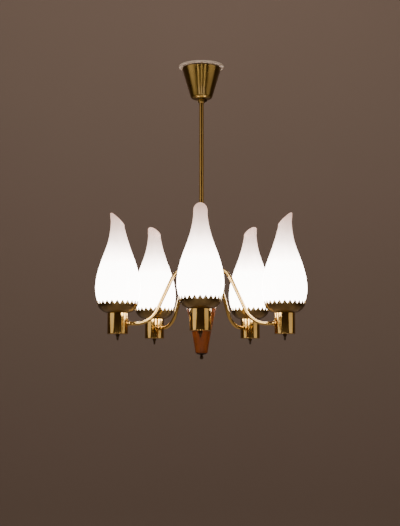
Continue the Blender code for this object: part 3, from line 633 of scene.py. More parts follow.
def brass(name, bright, dull, roughness, cloud_mm, dull_share, wave_mm, grain):
    """Turned brass under clear lacquer: a warm mirror, clouded where the lacquer has dulled.

    A slightly uneven wall makes upright reflections wander, and rubbed edges stay bright.
    The rings that turning leaves are about 0.1 mm apart, too fine to draw, so grain, an
    anisotropic gloss, stands for the way they draw highlights out along the axis.
    """
    tree, place = new_material(name)
    clouds = add_node(
        tree,
        "ShaderNodeTexNoise",
        {"Vector": place, "Scale": per_metre(cloud_mm), "Detail": 3.0},
    )
    dulled = add_node(
        tree,
        "ShaderNodeValToRGB",
        {"Fac": clouds.outputs["Fac"]},
        [(dull_share - 0.2, 0.0), (dull_share + 0.2, 1.0)],
    )
    geometry = add_node(tree, "ShaderNodeNewGeometry")
    edges = add_node(
        tree,
        "ShaderNodeValToRGB",
        {"Fac": geometry.outputs["Pointiness"]},
        [(0.52, 0.0), (0.58, 0.6)],
    )
    body = add_node(
        tree,
        "ShaderNodeMix",
        {MIX_SHARE: dulled.outputs["Color"], MIX_FIRST: dull, MIX_SECOND: bright},
        data_type="RGBA",
    )
    worn = add_node(
        tree,
        "ShaderNodeMix",
        {MIX_SHARE: edges.outputs["Color"], MIX_FIRST: body.outputs[MIXED], MIX_SECOND: bright},
        data_type="RGBA",
    )
    smears = add_node(
        tree,
        "ShaderNodeTexNoise",
        {"Vector": place, "Scale": per_metre(26), "Detail": 2.0},
    )
    rough = add_node(
        tree,
        "ShaderNodeMapRange",
        {
            "Value": smears.outputs["Fac"],
            "From Min": 0.3,
            "From Max": 0.7,
            "To Min": roughness * 0.85,
            "To Max": roughness * 1.2,
        },
    )
    uneven = add_node(
        tree,
        "ShaderNodeTexNoise",
        {"Vector": place, "Scale": per_metre(14), "Detail": 1.0},
    )
    waves = add_node(
        tree,
        "ShaderNodeBump",
        {"Height": uneven.outputs["Fac"], "Distance": wave_mm * MM, "Strength": 1.0},
    )
    around = add_node(tree, "ShaderNodeTangent", direction_type="RADIAL", axis="Z")
    shader = add_node(
        tree,
        "ShaderNodeBsdfPrincipled",
        {
            "Base Color": worn.outputs[MIXED],
            "Metallic": 1.0,
            "Roughness": rough.outputs["Result"],
            "Anisotropic": grain,
            "Anisotropic Rotation": 0.25,
            "Tangent": around.outputs["Tangent"],
            "Coat Weight": 0.2,
            "Coat Roughness": 0.12,
            "Normal": waves.outputs["Normal"],
        },
    )
    add_node(tree, "ShaderNodeOutputMaterial", {"Surface": shader.outputs["BSDF"]})


def zinc_steel(shade):
    """Zinc-plated mild steel: grey, with soft spangles of about 2 mm and a dull shine."""
    tree, place = new_material("Zinc-plated steel")
    spangle = add_node(tree, "ShaderNodeTexVoronoi", {"Vector": place, "Scale": per_metre(2.2)})
    # The coating's grain is about 0.1 mm, drawn at 0.8 mm so that it shows.
    grain = add_node(
        tree,
        "ShaderNodeTexNoise",
        {"Vector": place, "Scale": per_metre(0.8), "Detail": 3.0},
    )
    tone = add_node(
        tree,
        "ShaderNodeMix",
        {
            MIX_SHARE: spangle.outputs["Color"],
            MIX_FIRST: darker(shade, 0.72),
            MIX_SECOND: shade,
        },
        data_type="RGBA",
    )
    rough = add_node(
        tree,
        "ShaderNodeMapRange",
        {"Value": grain.outputs["Fac"], "To Min": 0.32, "To Max": 0.55},
    )
    pitted = add_node(
        tree,
        "ShaderNodeBump",
        {"Height": grain.outputs["Fac"], "Distance": 0.02 * MM, "Strength": 1.0},
    )
    shader = add_node(
        tree,
        "ShaderNodeBsdfPrincipled",
        {
            "Base Color": tone.outputs[MIXED],
            "Metallic": 1.0,
            "Roughness": rough.outputs["Result"],
            "Normal": pitted.outputs["Normal"],
        },
    )
    add_node(tree, "ShaderNodeOutputMaterial", {"Surface": shader.outputs["BSDF"]})


def painted_steel(shade):
    """Stove enamel on pressed steel: off-white, with orange peel and a little dust."""
    tree, place = new_material("Stove-enamelled steel")
    peel = add_node(
        tree,
        "ShaderNodeTexNoise",
        {"Vector": place, "Scale": per_metre(1.6), "Detail": 2.0},
    )
    dust = add_node(
        tree,
        "ShaderNodeTexNoise",
        {"Vector": place, "Scale": per_metre(18), "Detail": 4.0},
    )
    tone = add_node(
        tree,
        "ShaderNodeMix",
        {MIX_SHARE: dust.outputs["Fac"], MIX_FIRST: darker(shade, 0.86), MIX_SECOND: shade},
        data_type="RGBA",
    )
    dimpled = add_node(
        tree,
        "ShaderNodeBump",
        {"Height": peel.outputs["Fac"], "Distance": 0.03 * MM, "Strength": 1.0},
    )
    shader = add_node(
        tree,
        "ShaderNodeBsdfPrincipled",
        {
            "Base Color": tone.outputs[MIXED],
            "Roughness": 0.42,
            "Normal": dimpled.outputs["Normal"],
        },
    )
    add_node(tree, "ShaderNodeOutputMaterial", {"Surface": shader.outputs["BSDF"]})


def porcelain(shade):
    """Glazed porcelain: white, glassy, with a faint unevenness where the glaze has run."""
    tree, place = new_material("Glazed porcelain")
    glaze = add_node(
        tree,
        "ShaderNodeTexNoise",
        {"Vector": place, "Scale": per_metre(5), "Detail": 1.0},
    )
    # Specks in the body are about 0.3 mm, drawn at 0.9 mm so that they show.
    specks = add_node(
        tree,
        "ShaderNodeTexNoise",
        {"Vector": place, "Scale": per_metre(0.9), "Detail": 1.0},
    )
    tone = add_node(
        tree,
        "ShaderNodeValToRGB",
        {"Fac": specks.outputs["Fac"]},
        [(0.28, darker(shade, 0.6)), (0.36, shade)],
    )
    runs = add_node(
        tree,
        "ShaderNodeBump",
        {"Height": glaze.outputs["Fac"], "Distance": 0.06 * MM, "Strength": 1.0},
    )
    shader = add_node(
        tree,
        "ShaderNodeBsdfPrincipled",
        {
            "Base Color": tone.outputs["Color"],
            "Roughness": 0.12,
            "IOR": 1.5,
            "Coat Weight": 0.6,
            "Normal": runs.outputs["Normal"],
        },
    )
    add_node(tree, "ShaderNodeOutputMaterial", {"Surface": shader.outputs["BSDF"]})


def bakelite(shade):
    """Phenolic moulding: brown-black, with the marbled flow of its wood flour."""
    tree, place = new_material("Moulded bakelite")
    flow = add_node(
        tree,
        "ShaderNodeTexNoise",
        {"Vector": place, "Scale": per_metre(9), "Detail": 6.0, "Distortion": 1.5},
    )
    tone = add_node(
        tree,
        "ShaderNodeValToRGB",
        {"Fac": flow.outputs["Fac"]},
        [(0.35, darker(shade, 0.55)), (0.65, shade)],
    )
    rough = add_node(
        tree,
        "ShaderNodeMapRange",
        {"Value": flow.outputs["Fac"], "To Min": 0.3, "To Max": 0.5},
    )
    shader = add_node(
        tree,
        "ShaderNodeBsdfPrincipled",
        {"Base Color": tone.outputs["Color"], "Roughness": rough.outputs["Result"], "IOR": 1.6},
    )
    add_node(tree, "ShaderNodeOutputMaterial", {"Surface": shader.outputs["BSDF"]})


def teak(name, light, dark, ring_mm=7):
    """Turned teak, rubbed with oil: brown-orange, its grain running up the axis.

    Growth rings show as long uneven stripes where the cone cuts across them, and open
    pores make fine dark flecks along the grain.
    """
    tree, place = new_material(name)
    lengthwise = add_node(
        tree,
        "ShaderNodeMapping",
        {"Vector": place, "Scale": (1, 0.6, 0.12), "Rotation": (0.05, 0.07, 0)},
    )
    rings = add_node(
        tree,
        "ShaderNodeTexNoise",
        {
            "Vector": lengthwise.outputs["Vector"],
            "Scale": per_metre(ring_mm),
            "Detail": 4.0,
            "Distortion": 0.8,
        },
    )
    bands = add_node(
        tree,
        "ShaderNodeValToRGB",
        {"Fac": rings.outputs["Fac"]},
        [
            (0.32, dark),
            (0.44, light),
            (0.5, darker(light, 0.8)),
            (0.56, light),
            (0.7, darker(light, 0.62)),
        ],
    )
    # Pores are about 0.25 mm wide, drawn at 0.5 mm so that they show.
    pores = add_node(tree, "ShaderNodeMapping", {"Vector": place, "Scale": (1, 1, 0.06)})
    fleck = add_node(
        tree,
        "ShaderNodeTexNoise",
        {"Vector": pores.outputs["Vector"], "Scale": per_metre(0.5), "Detail": 2.0},
    )
    sound = add_node(
        tree,
        "ShaderNodeValToRGB",
        {"Fac": fleck.outputs["Fac"]},
        [(0.3, 0.0), (0.4, 1.0)],
    )
    wood = add_node(
        tree,
        "ShaderNodeMix",
        {
            MIX_SHARE: sound.outputs["Color"],
            MIX_FIRST: dark,
            MIX_SECOND: bands.outputs["Color"],
        },
        data_type="RGBA",
    )
    rough = add_node(
        tree,
        "ShaderNodeMapRange",
        {"Value": rings.outputs["Fac"], "To Min": 0.38, "To Max": 0.55},
    )
    open_grain = add_node(
        tree,
        "ShaderNodeBump",
        {"Height": sound.outputs["Color"], "Distance": 0.02 * MM, "Strength": 1.0},
    )
    shader = add_node(
        tree,
        "ShaderNodeBsdfPrincipled",
        {
            "Base Color": wood.outputs[MIXED],
            "Roughness": rough.outputs["Result"],
            "Specular IOR Level": 0.3,
            "Normal": open_grain.outputs["Normal"],
        },
    )
    add_node(tree, "ShaderNodeOutputMaterial", {"Surface": shader.outputs["BSDF"]})


def opal_glass(colours, foot, tip):
    """Flashed opal glass with a bulb inside: it glows white, and less in the neck.

    The casing of white glass spreads the light, so no filament shows. Faint cords from
    blowing run through it, and the outer skin is glossy.
    """
    tree, place = new_material("Flashed opal glass")
    height = add_node(tree, "ShaderNodeSeparateXYZ", {"Vector": place})
    share = add_node(
        tree,
        "ShaderNodeMapRange",
        {"Value": height.outputs["Z"], "From Min": foot, "From Max": tip},
    )
    cords = add_node(tree, "ShaderNodeMapping", {"Vector": place, "Scale": (1, 1, 0.3)})
    streaks = add_node(
        tree,
        "ShaderNodeTexNoise",
        {"Vector": cords.outputs["Vector"], "Scale": per_metre(16), "Detail": 2.0},
    )
    wander = add_node(
        tree,
        "ShaderNodeMath",
        {0: streaks.outputs["Fac"], 1: 0.06, 2: share.outputs["Result"]},
        operation="MULTIPLY_ADD",
    )
    tone = add_node(
        tree,
        "ShaderNodeValToRGB",
        {"Fac": wander.outputs["Value"]},
        [(0.5, colours.glow), (1.0, colours.glow_tip)],
    )
    power = add_node(
        tree,
        "ShaderNodeValToRGB",
        {"Fac": wander.outputs["Value"]},
        POWER_UP_THE_SHADE,
    )
    strength = add_node(
        tree,
        "ShaderNodeMath",
        {0: power.outputs["Color"], 1: GLOW},
        operation="MULTIPLY",
    )
    skin = add_node(
        tree,
        "ShaderNodeBump",
        {"Height": streaks.outputs["Fac"], "Distance": 0.05 * MM, "Strength": 1.0},
    )
    shader = add_node(
        tree,
        "ShaderNodeBsdfPrincipled",
        {
            "Base Color": colours.opal,
            "Roughness": 0.16,
            "IOR": 1.5,
            "Emission Color": tone.outputs["Color"],
            "Emission Strength": strength.outputs["Value"],
            "Normal": skin.outputs["Normal"],
        },
    )
    add_node(tree, "ShaderNodeOutputMaterial", {"Surface": shader.outputs["BSDF"]})


def frosted_glass(colours):
    """Acid-frosted bulb glass, lit: an even glow with a fine sparkle and a soft sheen."""
    tree, place = new_material("Frosted bulb glass")
    # The etching is far under 0.1 mm, drawn at 0.6 mm so that it shows.
    frost = add_node(
        tree,
        "ShaderNodeTexNoise",
        {"Vector": place, "Scale": per_metre(0.6), "Detail": 2.0},
    )
    glow = add_node(
        tree,
        "ShaderNodeMapRange",
        {"Value": frost.outputs["Fac"], "To Min": GLOW, "To Max": GLOW * 1.3},
    )
    etched = add_node(
        tree,
        "ShaderNodeBump",
        {"Height": frost.outputs["Fac"], "Distance": 0.02 * MM, "Strength": 1.0},
    )
    shader = add_node(
        tree,
        "ShaderNodeBsdfPrincipled",
        {
            "Base Color": colours.opal,
            "Roughness": 0.4,
            "Emission Color": colours.glow,
            "Emission Strength": glow.outputs["Result"],
            "Normal": etched.outputs["Normal"],
        },
    )
    add_node(tree, "ShaderNodeOutputMaterial", {"Surface": shader.outputs["BSDF"]})


def seamless_paper(name, shade):
    """Seamless background paper: matt, with a faint mottle."""
    tree, _ = new_material(name)
    where = add_node(tree, "ShaderNodeTexCoord")
    mottle = add_node(
        tree,
        "ShaderNodeTexNoise",
        {"Vector": where.outputs["Object"], "Scale": per_metre(900), "Detail": 3.0},
    )
    tone = add_node(
        tree,
        "ShaderNodeMix",
        {MIX_SHARE: mottle.outputs["Fac"], MIX_FIRST: darker(shade, 0.96), MIX_SECOND: shade},
        data_type="RGBA",
    )
    shader = add_node(
        tree,
        "ShaderNodeBsdfPrincipled",
        {"Base Color": tone.outputs[MIXED], "Roughness": 0.9, "Specular IOR Level": 0.2},
    )
    add_node(tree, "ShaderNodeOutputMaterial", {"Surface": shader.outputs["BSDF"]})


# ---------------------------------------------------------------- operators


class CHANDELIER_OT_materials(bpy.types.Operator):
    """Make the chandelier's materials"""

    bl_idname = "chandelier.materials"
    bl_label = "Materials"

    def execute(self, context):
        colours = context.scene.chandelier_colours
        bright, dull = colours.brass, colours.brass_dull
        dark, nickel = colours.dark_brass, colours.zinc
        # Name, bright and dulled colour, roughness, clouds in mm, how much of it is dulled,
        # waves in mm and grain.
        brasses = [
            ("Polished brass", bright, dull, 0.13, 60, 0.4, 0.16, 0.0),
            ("Bent brass tube", bright, dull, 0.2, 60, 0.4, 0.03, 0.0),
            ("Drawn brass tube", colours.stem, dull, 0.3, 90, 0.4, 0.02, 0.0),
            ("Spun canopy brass", colours.canopy, colours.canopy_dull, 0.3, 70, 0.45, 0.03, 0.85),
            ("Browned cup brass", colours.patina, colours.patina_dark, 0.3, 24, 0.5, 0.05, 0.3),
            ("Darkened brass", dark, darker(dark, 0.5), 0.36, 9, 0.5, 0.05, 0.0),
            ("Nickel-plated brass", nickel, darker(nickel, 0.8), 0.22, 9, 0.4, 0.05, 0.0),
        ]
        for settings in brasses:
            brass(*settings)
        zinc_steel(colours.zinc)
        painted_steel(colours.paint)
        porcelain(colours.porcelain)
        bakelite(colours.bakelite)
        teak("Oiled teak", colours.teak, colours.teak_dark)
        teak("Ebonised wood", colours.ebony, colours.ebony_dark, ring_mm=2.4)
        opal_glass(colours, *lamp_span("shade_1"))
        frosted_glass(colours)
        seamless_paper("Floor paper", colours.paper)
        seamless_paper("Wall paper", colours.wall)
        return {"FINISHED"}


class CHANDELIER_OT_ceiling_plate(bpy.types.Operator):
    """Press the painted plate that lies against the ceiling"""

    bl_idname = "chandelier.ceiling_plate"
    bl_label = "Ceiling plate"

    def execute(self, context):
        sizes = context.scene.chandelier_hanger
        lowest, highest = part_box("ceiling_plate")
        under = highest.z - sizes.plate_thickness
        hook_hole = high("ceiling_hook").y
        plate = turned(
            "painted_plate",
            rounded([
                (0, highest.z),
                (highest.x, highest.z, sizes.plate_edge / 4),
                (highest.x, under, sizes.plate_edge),
                (sizes.boss_radius, under, sizes.plate_edge / 2),
                (sizes.boss_radius, lowest.z, sizes.plate_edge / 4),
                (hook_hole, lowest.z),
                (hook_hole, under),
                (0, under),
            ]),
            96,
        )
        for side in (-1, 1):
            hole = Vector((side * sizes.fixing_circle, 0, 0))
            drill(plate, hole, hole + Vector((0, 0, 1.5 * under)), sizes.fixing_radius)
        soften(plate, sizes.plate_edge / 8)
        dress(plate, "Stove-enamelled steel", "ceiling", "plate_paint", "ceiling_plate")
        return {"FINISHED"}


class CHANDELIER_OT_hook(bpy.types.Operator):
    """Bend the hook that the chandelier hangs on"""

    bl_idname = "chandelier.hook"
    bl_label = "Ceiling hook"

    def execute(self, context):
        sizes = context.scene.chandelier_hanger
        lowest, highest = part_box("ceiling_hook")
        rod = highest.y
        radius = highest.x - rod
        eye = Vector((0, 0, lowest.z + rod + radius))
        shoulder = eye.z + 2 * radius * math.sin(sizes.hook_turn)
        hook = tube("steel_hook", (0, 0, highest.z), rod, [
            (extrude, (0, 0, shoulder - highest.z)),
            (bend, (radius, 0, shoulder), (0, -1, 0), sizes.hook_turn, 10),
            (bend, eye, (0, 1, 0), sizes.hook_reach, 40),
        ], 20)
        close_ends()
        finish(hook)
        soften(hook, rod / 3)
        dress(hook, "Zinc-plated steel", "ceiling", "hanger_steel", "ceiling_hook")
        return {"FINISHED"}


class CHANDELIER_OT_shackle(bpy.types.Operator):
    """Bend the shackle's strap over the hook and rivet its pin"""

    bl_idname = "chandelier.shackle"
    bl_label = "Shackle and pin"

    def execute(self, context):
        sizes = context.scene.chandelier_hanger
        lowest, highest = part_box("shackle")
        bend_radius = highest.y - sizes.strap_thickness / 2
        centre = highest.z - highest.y
        pin_height = middle("shackle_pin").z
        strap = begin(
            "steel_shackle",
            bpy.ops.mesh.primitive_plane_add,
            size=1,
            location=(0, bend_radius, lowest.z),
        )
        bpy.ops.transform.resize(
            value=(2 * highest.x, sizes.strap_thickness, 1),
            center_override=(0, bend_radius, lowest.z),
        )
        bpy.ops.mesh.delete(type="ONLY_FACE")
        bpy.ops.mesh.select_all(action="SELECT")
        extrude((0, 0, centre - lowest.z))
        bend((0, 0, centre), (1, 0, 0), math.pi, 32)
        extrude((0, 0, lowest.z - centre))
        close_ends()
        finish(strap)
        reach = Vector((0, 1.5 * highest.y, 0))
        at_pin = Vector((0, 0, pin_height))
        drill(strap, at_pin - reach, at_pin + reach, sizes.pin_radius * PIN_FIT)
        soften(strap, 0.3 * MM)
        dress(strap, "Zinc-plated steel", "shackle", "hanger_steel", "shackle")

        end = high("shackle_pin").y
        seat = end - sizes.pin_head_length
        head = high("shackle_pin").z - pin_height
        edge = sizes.pin_head_length / 2
        pin = turned(
            "steel_pin",
            rounded([
                (0, end),
                (head, end, edge),
                (head, seat),
                (sizes.pin_radius, seat),
                (sizes.pin_radius, -seat),
                (head, -seat),
                (head, -end, edge),
                (0, -end),
            ]),
            32,
        )
        pin.matrix_world = Matrix.Translation(at_pin) @ Matrix.Rotation(math.pi / 2, 4, "X")
        finish(pin)
        dress(pin, "Zinc-plated steel", "shackle", "hanger_steel", "shackle_pin")
        return {"FINISHED"}


class CHANDELIER_OT_stem_eye(bpy.types.Operator):
    """Turn the eye that joins the stem to the shackle"""

    bl_idname = "chandelier.stem_eye"
    bl_label = "Stem eye"

    def execute(self, context):
        sizes = context.scene.chandelier_hanger
        lowest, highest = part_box("stem_eye")
        bore = high("stem").x - context.scene.chandelier_hub.tube_wall
        stud = bore - 0.3 * context.scene.chandelier_hub.tube_wall
        seat = lowest.z + sizes.stud_length
        eye = turned(
            "steel_stem_eye",
            rounded([
                (0, highest.z),
                (highest.x, highest.z, 1.5 * MM),
                (highest.x, seat, 0.3 * MM),
                (stud, seat),
                (stud, lowest.z, 0.5 * MM),
                (0, lowest.z),
            ]),
            40,
        )
        reach = Vector((0, 2 * highest.x, 0))
        at_pin = Vector((0, 0, middle("shackle_pin").z))
        drill(eye, at_pin - reach, at_pin + reach, sizes.pin_radius * PIN_FIT)
        soften(eye, 0.2 * MM)
        dress(eye, "Zinc-plated steel", "fixture", "hanger_steel", "stem_eye")
        return {"FINISHED"}


class CHANDELIER_OT_terminal_block(bpy.types.Operator):
    """Make the porcelain terminal block and its brass screws"""

    bl_idname = "chandelier.terminal_block"
    bl_label = "Terminal block"

    def execute(self, context):
        sizes = context.scene.chandelier_hanger
        lowest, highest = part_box("terminal_block")
        centre = middle("terminal_block")
        proud, edge, groove = 1 * MM, 1 * MM, 0.6 * MM
        face = highest.x - proud
        block = box("porcelain_block", lowest, (face, highest.y, highest.z), edge)
        ways = [highest.y * share for share in (-2 / 3, 0, 2 / 3)]
        for y in ways:
            above = Vector((centre.x, y, 2 * highest.z - centre.z))
            below = Vector((centre.x, y, 2 * lowest.z - centre.z))
            drill(block, above, below, sizes.block_hole, 20)
        for y in (ways[0] / 2, ways[2] / 2):
            start = Vector((face, y, highest.z + edge))
            down = Vector((0, 0, 2 * (highest.z - centre.z + edge)))
            drill(block, start, start - down, groove, 12)
        dress(block, "Glazed porcelain", "fixture", "porcelain", "terminal_block")

        head, sunk, slot = 1.7 * MM, 2 * MM, 0.5 * MM
        screw = turned(
            "terminal_screw",
            rounded([(0, proud), (head, proud, 0.4 * MM), (head, -sunk), (0, -sunk)]),
            20,
        )
        saw_slot(screw, (0, 0, proud), slot, 4 * head, slot)
        keep_own_place(screw)
        rows = [centre.z + side * (highest.z - lowest.z) / 4 for side in (-1, 1)]
        for number, (y, z) in enumerate([(y, z) for y in ways for z in rows], 1):
            place = Matrix.Translation((face, y, z)) @ Matrix.Rotation(math.pi / 2, 4, "Y")
            # No two slots stand at the same angle.
            place = place @ Matrix.Rotation(0.5 * number, 4, "Z")
            copy = copy_to(screw, f"terminal_screw_{number}", place)
            dress(copy, "Polished brass", "fixture", "dark_brass")
        bpy.data.objects.remove(screw)
        return {"FINISHED"}


class CHANDELIER_OT_canopy(bpy.types.Operator):
    """Spin the tapered canopy that covers the hook"""

    bl_idname = "chandelier.canopy"
    bl_label = "Canopy"

    def execute(self, context):
        sizes = context.scene.chandelier_canopy
        lowest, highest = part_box("canopy")
        hole = high("stem").x * CANOPY_FIT
        floor = lowest.z + sizes.wall
        canopy = turned(
            "brass_canopy",
            rounded([
                (highest.x, highest.z, sizes.wall / 3),
                (sizes.floor_radius, lowest.z, sizes.corner),
                (hole, lowest.z),
                (hole, floor),
                (sizes.floor_radius - sizes.wall, floor, sizes.corner - sizes.wall),
                (highest.x - sizes.wall, highest.z, sizes.wall / 3),
            ], 10),
            128,
        )
        dress(canopy, "Spun canopy brass", "canopy", "canopy_brass", "canopy")
        return {"FINISHED"}


class CHANDELIER_OT_canopy_collar(bpy.types.Operator):
    """Turn the collar under the canopy and knurl its set screw"""

    bl_idname = "chandelier.canopy_collar"
    bl_label = "Canopy collar and set screw"

    def execute(self, context):
        sizes = context.scene.chandelier_canopy
        lowest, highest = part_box("canopy_collar")
        hole = high("stem").x * STEM_FIT
        edge = sizes.collar_edge
        radius = highest.x
        collar = turned(
            "brass_collar",
            rounded([
                (radius, highest.z, edge),
                (radius, lowest.z, edge),
                (hole, lowest.z, 0.3 * MM),
                (hole, highest.z, 0.3 * MM),
            ]),
            64,
        )
        outwards = joint_axis("collar_screw_turn")
        height = Vector((0, 0, middle("collar_screw").z))
        drill(
            collar,
            height + outwards * hole / 2,
            height + outwards * 2 * radius,
            sizes.screw_radius * SCREW_FIT,
            24,
        )
        dress(collar, "Spun canopy brass", "canopy", "canopy_brass", "canopy_collar")

        seat = radius + SEAT_GAP
        end = seat + sizes.screw_head_length
        tip = hole + 0.1 * MM
        screw = turned(
            "knurled_screw",
            rounded([
                (0, end),
                (sizes.screw_head, end, 0.6 * MM),
                (sizes.screw_head, seat, 0.3 * MM),
                (sizes.screw_radius, seat),
                (sizes.screw_radius, tip, 0.4 * MM),
                (0, tip),
            ]),
            4 * sizes.screw_ribs,
        )
        bpy.ops.object.mode_set(mode="EDIT")
        # Every fourth row of points round the head is pressed in between two ribs.
        rib = math.tau / sizes.screw_ribs
        valley = 0.93  # how far out a valley lies, as a share of a rib
        slot, slot_depth = 0.7 * MM, 0.9 * MM
        select_where(
            screw,
            lambda vert: vert.co.xy.length > sizes.screw_head - WELD
            and abs(math.atan2(vert.co.y, vert.co.x) / rib % 1 - 0.5) < 0.2,
        )
        bpy.ops.transform.resize(value=(valley, valley, 1), center_override=(0, 0, 0))
        bpy.ops.object.mode_set(mode="OBJECT")
        saw_slot(screw, (0, 0, end), slot, 4 * sizes.screw_head, slot_depth)
        keep_own_place(screw)
        turn = Matrix.Rotation(math.atan2(outwards.y, outwards.x), 4, "Z")
        lay_down = Matrix.Rotation(math.pi / 2, 4, "Y")
        placed = copy_to(screw, "collar_thumb_screw", Matrix.Translation(height) @ turn @ lay_down)
        bpy.data.objects.remove(screw)
        dress(placed, "Darkened brass", "collar_screw", "dark_brass", "collar_screw")
        return {"FINISHED"}


class CHANDELIER_OT_stem(bpy.types.Operator):
    """Draw the tube that carries the hub"""

    bl_idname = "chandelier.stem"
    bl_label = "Stem"

    def execute(self, context):
        wall = context.scene.chandelier_hub.tube_wall
        lowest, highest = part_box("stem")
        radius = highest.x
        stem = turned(
            "brass_stem",
            rounded([
                (radius, highest.z, wall / 3),
                (radius, lowest.z, wall / 3),
                (radius - wall, lowest.z),
                (radius - wall, highest.z),
            ]),
            48,
        )
        dress(stem, "Drawn brass tube", "fixture", "stem_brass", "stem")
        return {"FINISHED"}


class CHANDELIER_OT_hub(bpy.types.Operator):
    """Make the hub plate, its collar, nut and screws"""

    bl_idname = "chandelier.hub"
    bl_label = "Hub"

    def execute(self, context):
        sizes = context.scene.chandelier_hub
        stem_hole = high("stem").x * STEM_FIT
        lowest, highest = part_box("hub_plate")
        radius = highest.x
        edge = 0.5 * MM
        plate = turned(
            "brass_hub_plate",
            rounded([
                (radius, highest.z, edge),
                (radius, lowest.z, edge),
                (stem_hole, lowest.z),
                (stem_hole, highest.z),
            ]),
            96,
        )
        through = Vector((0, 0, 2 * (highest.z - lowest.z)))
        arm_foot = Vector((sizes.arm_circle, 0, 0))
        holes = [(arm_place(number) @ arm_foot, ARM_RADIUS * ARM_FIT) for number in LAMPS]
        screw_hole = sizes.screw_radius * SCREW_FIT
        holes += [(middle(f"hub_screw_{number}"), screw_hole) for number in (1, 2, 3)]
        for centre, hole in holes:
            centre.z = middle("hub_plate").z
            drill(plate, centre + through, centre - through, hole)
        dress(plate, "Polished brass", "fixture", "lamp_brass", "hub_plate")

        lowest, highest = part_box("stem_collar")
        half = (highest.z - lowest.z) / 2
        collar = turned(
            "brass_stem_collar",
            [(stem_hole, highest.z)]
            + arc((highest.x - half, middle("stem_collar").z), half, math.pi / 2, -math.pi / 2, 16)
            + [(stem_hole, lowest.z)],
            64,
        )
        dress(collar, "Polished brass", "fixture", "lamp_brass", "stem_collar")

        lowest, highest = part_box("hub_nut")
        nut = begin(
            "brass_hub_nut",
            bpy.ops.mesh.primitive_cylinder_add,
            vertices=6,
            radius=highest.x,
            depth=highest.z - lowest.z,
            location=middle("hub_nut"),
            rotation=(0, 0, math.pi / 2 if highest.y > highest.x + WELD else 0),
        )
        finish(nut)
        above, below = 2 * highest.z - lowest.z, 2 * lowest.z - highest.z
        drill(nut, (0, 0, above), (0, 0, below), stem_hole)
        soften(nut, 0.4 * MM)
        dress(nut, "Polished brass", "fixture", "lamp_brass", "hub_nut")

        lowest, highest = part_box("hub_screw_1")
        head = (highest.x - lowest.x) / 2
        seat = highest.z - sizes.screw_head_height
        screw = turned(
            "slotted_screw",
            rounded([
                (0, highest.z),
                (head, highest.z, 0.6 * MM),
                (head, seat),
                (sizes.screw_radius, seat),
                (sizes.screw_radius, lowest.z, 0.5 * MM),
                (0, lowest.z),
            ]),
            32,
        )
        saw_slot(screw, (0, 0, highest.z), sizes.slot, 4 * head, sizes.screw_head_height / 2)
        keep_own_place(screw)
        for number in (1, 2, 3):
            centre = middle(f"hub_screw_{number}")
            # No two slots stand at the same angle.
            turn = Matrix.Rotation(1.1 * number, 4, "Z")
            place = Matrix.Translation((centre.x, centre.y, 0)) @ turn
            copy = copy_to(screw, f"slotted_hub_screw_{number}", place)
            dress(copy, "Darkened brass", "fixture", "dark_brass", f"hub_screw_{number}")
        bpy.data.objects.remove(screw)
        return {"FINISHED"}


class CHANDELIER_OT_teak_body(bpy.types.Operator):
    """Turn the tapered teak body under the hub"""

    bl_idname = "chandelier.teak_body"
    bl_label = "Teak body"

    def execute(self, context):
        sizes = context.scene.chandelier_hub
        lowest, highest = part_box("teak_body")
        radius, edge = highest.x, sizes.teak_edge
        chamber = radius - sizes.teak_wall
        floor = highest.z - sizes.chamber_depth
        stud = sizes.stud_radius * SCREW_FIT
        side = []
        for t in (0.15, 0.3, 0.45, 0.6, 0.75, 0.9):  # shares of the way down
            straight = radius + (sizes.teak_foot - radius) * t
            hollow = 4 * t * (1 - t) * sizes.teak_hollow
            side.append((straight - hollow, highest.z + (lowest.z - highest.z) * t))
        body = turned(
            "turned_teak_body",
            rounded([
                (0, floor),
                (chamber, floor, 2 * edge),
                (chamber, highest.z, edge / 3),
                (radius, highest.z, edge),
                *side,
                (sizes.teak_foot, lowest.z, edge),
                (stud, lowest.z),
                (stud, lowest.z + sizes.stud_length),
                (0, lowest.z + sizes.stud_length),
            ]),
            96,
        )
        dress(body, "Oiled teak", "fixture", "teak", "teak_body")
        return {"FINISHED"}


class CHANDELIER_OT_bottom_finial(bpy.types.Operator):
    """Turn the dark disc and the finial under the teak body"""

    bl_idname = "chandelier.bottom_finial"
    bl_label = "Disc and bottom finial"

    def execute(self, context):
        sizes = context.scene.chandelier_hub
        lowest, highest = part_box("bottom_disc")
        stud = sizes.stud_radius * SCREW_FIT
        disc = turned(
            "ebonised_disc",
            rounded([
                (highest.x, highest.z, sizes.disc_edge),
                (highest.x, lowest.z, sizes.disc_edge),
                (stud, lowest.z),
                (stud, highest.z),
            ]),
            64,
        )
        dress(disc, "Ebonised wood", "fixture", "black_disc", "bottom_disc")

        seat = lowest.z - SEAT_GAP
        lowest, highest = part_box("bottom_finial")
        knob, neck, flare = sizes.finial_knob, sizes.finial_neck, sizes.finial_flare
        start = math.pi / 2 - math.asin(neck / knob)
        finial = turned(
            "brass_bottom_finial",
            rounded([
                (0, highest.z),
                (sizes.stud_radius, highest.z, 0.4 * MM),
                (sizes.stud_radius, seat),
                (flare, seat, 0.3 * MM),
                (flare, seat - 1 * MM, 0.3 * MM),
                (neck + 0.4 * MM, seat - 1.8 * MM),
                (neck, seat - 2.4 * MM),
            ])
            + arc((0, lowest.z + knob), knob, start, -math.pi / 2, 16)[:-1]
            + [(0, lowest.z)],
            40,
        )
        dress(finial, "Darkened brass", "fixture", "lamp_brass", "bottom_finial")
        return {"FINISHED"}


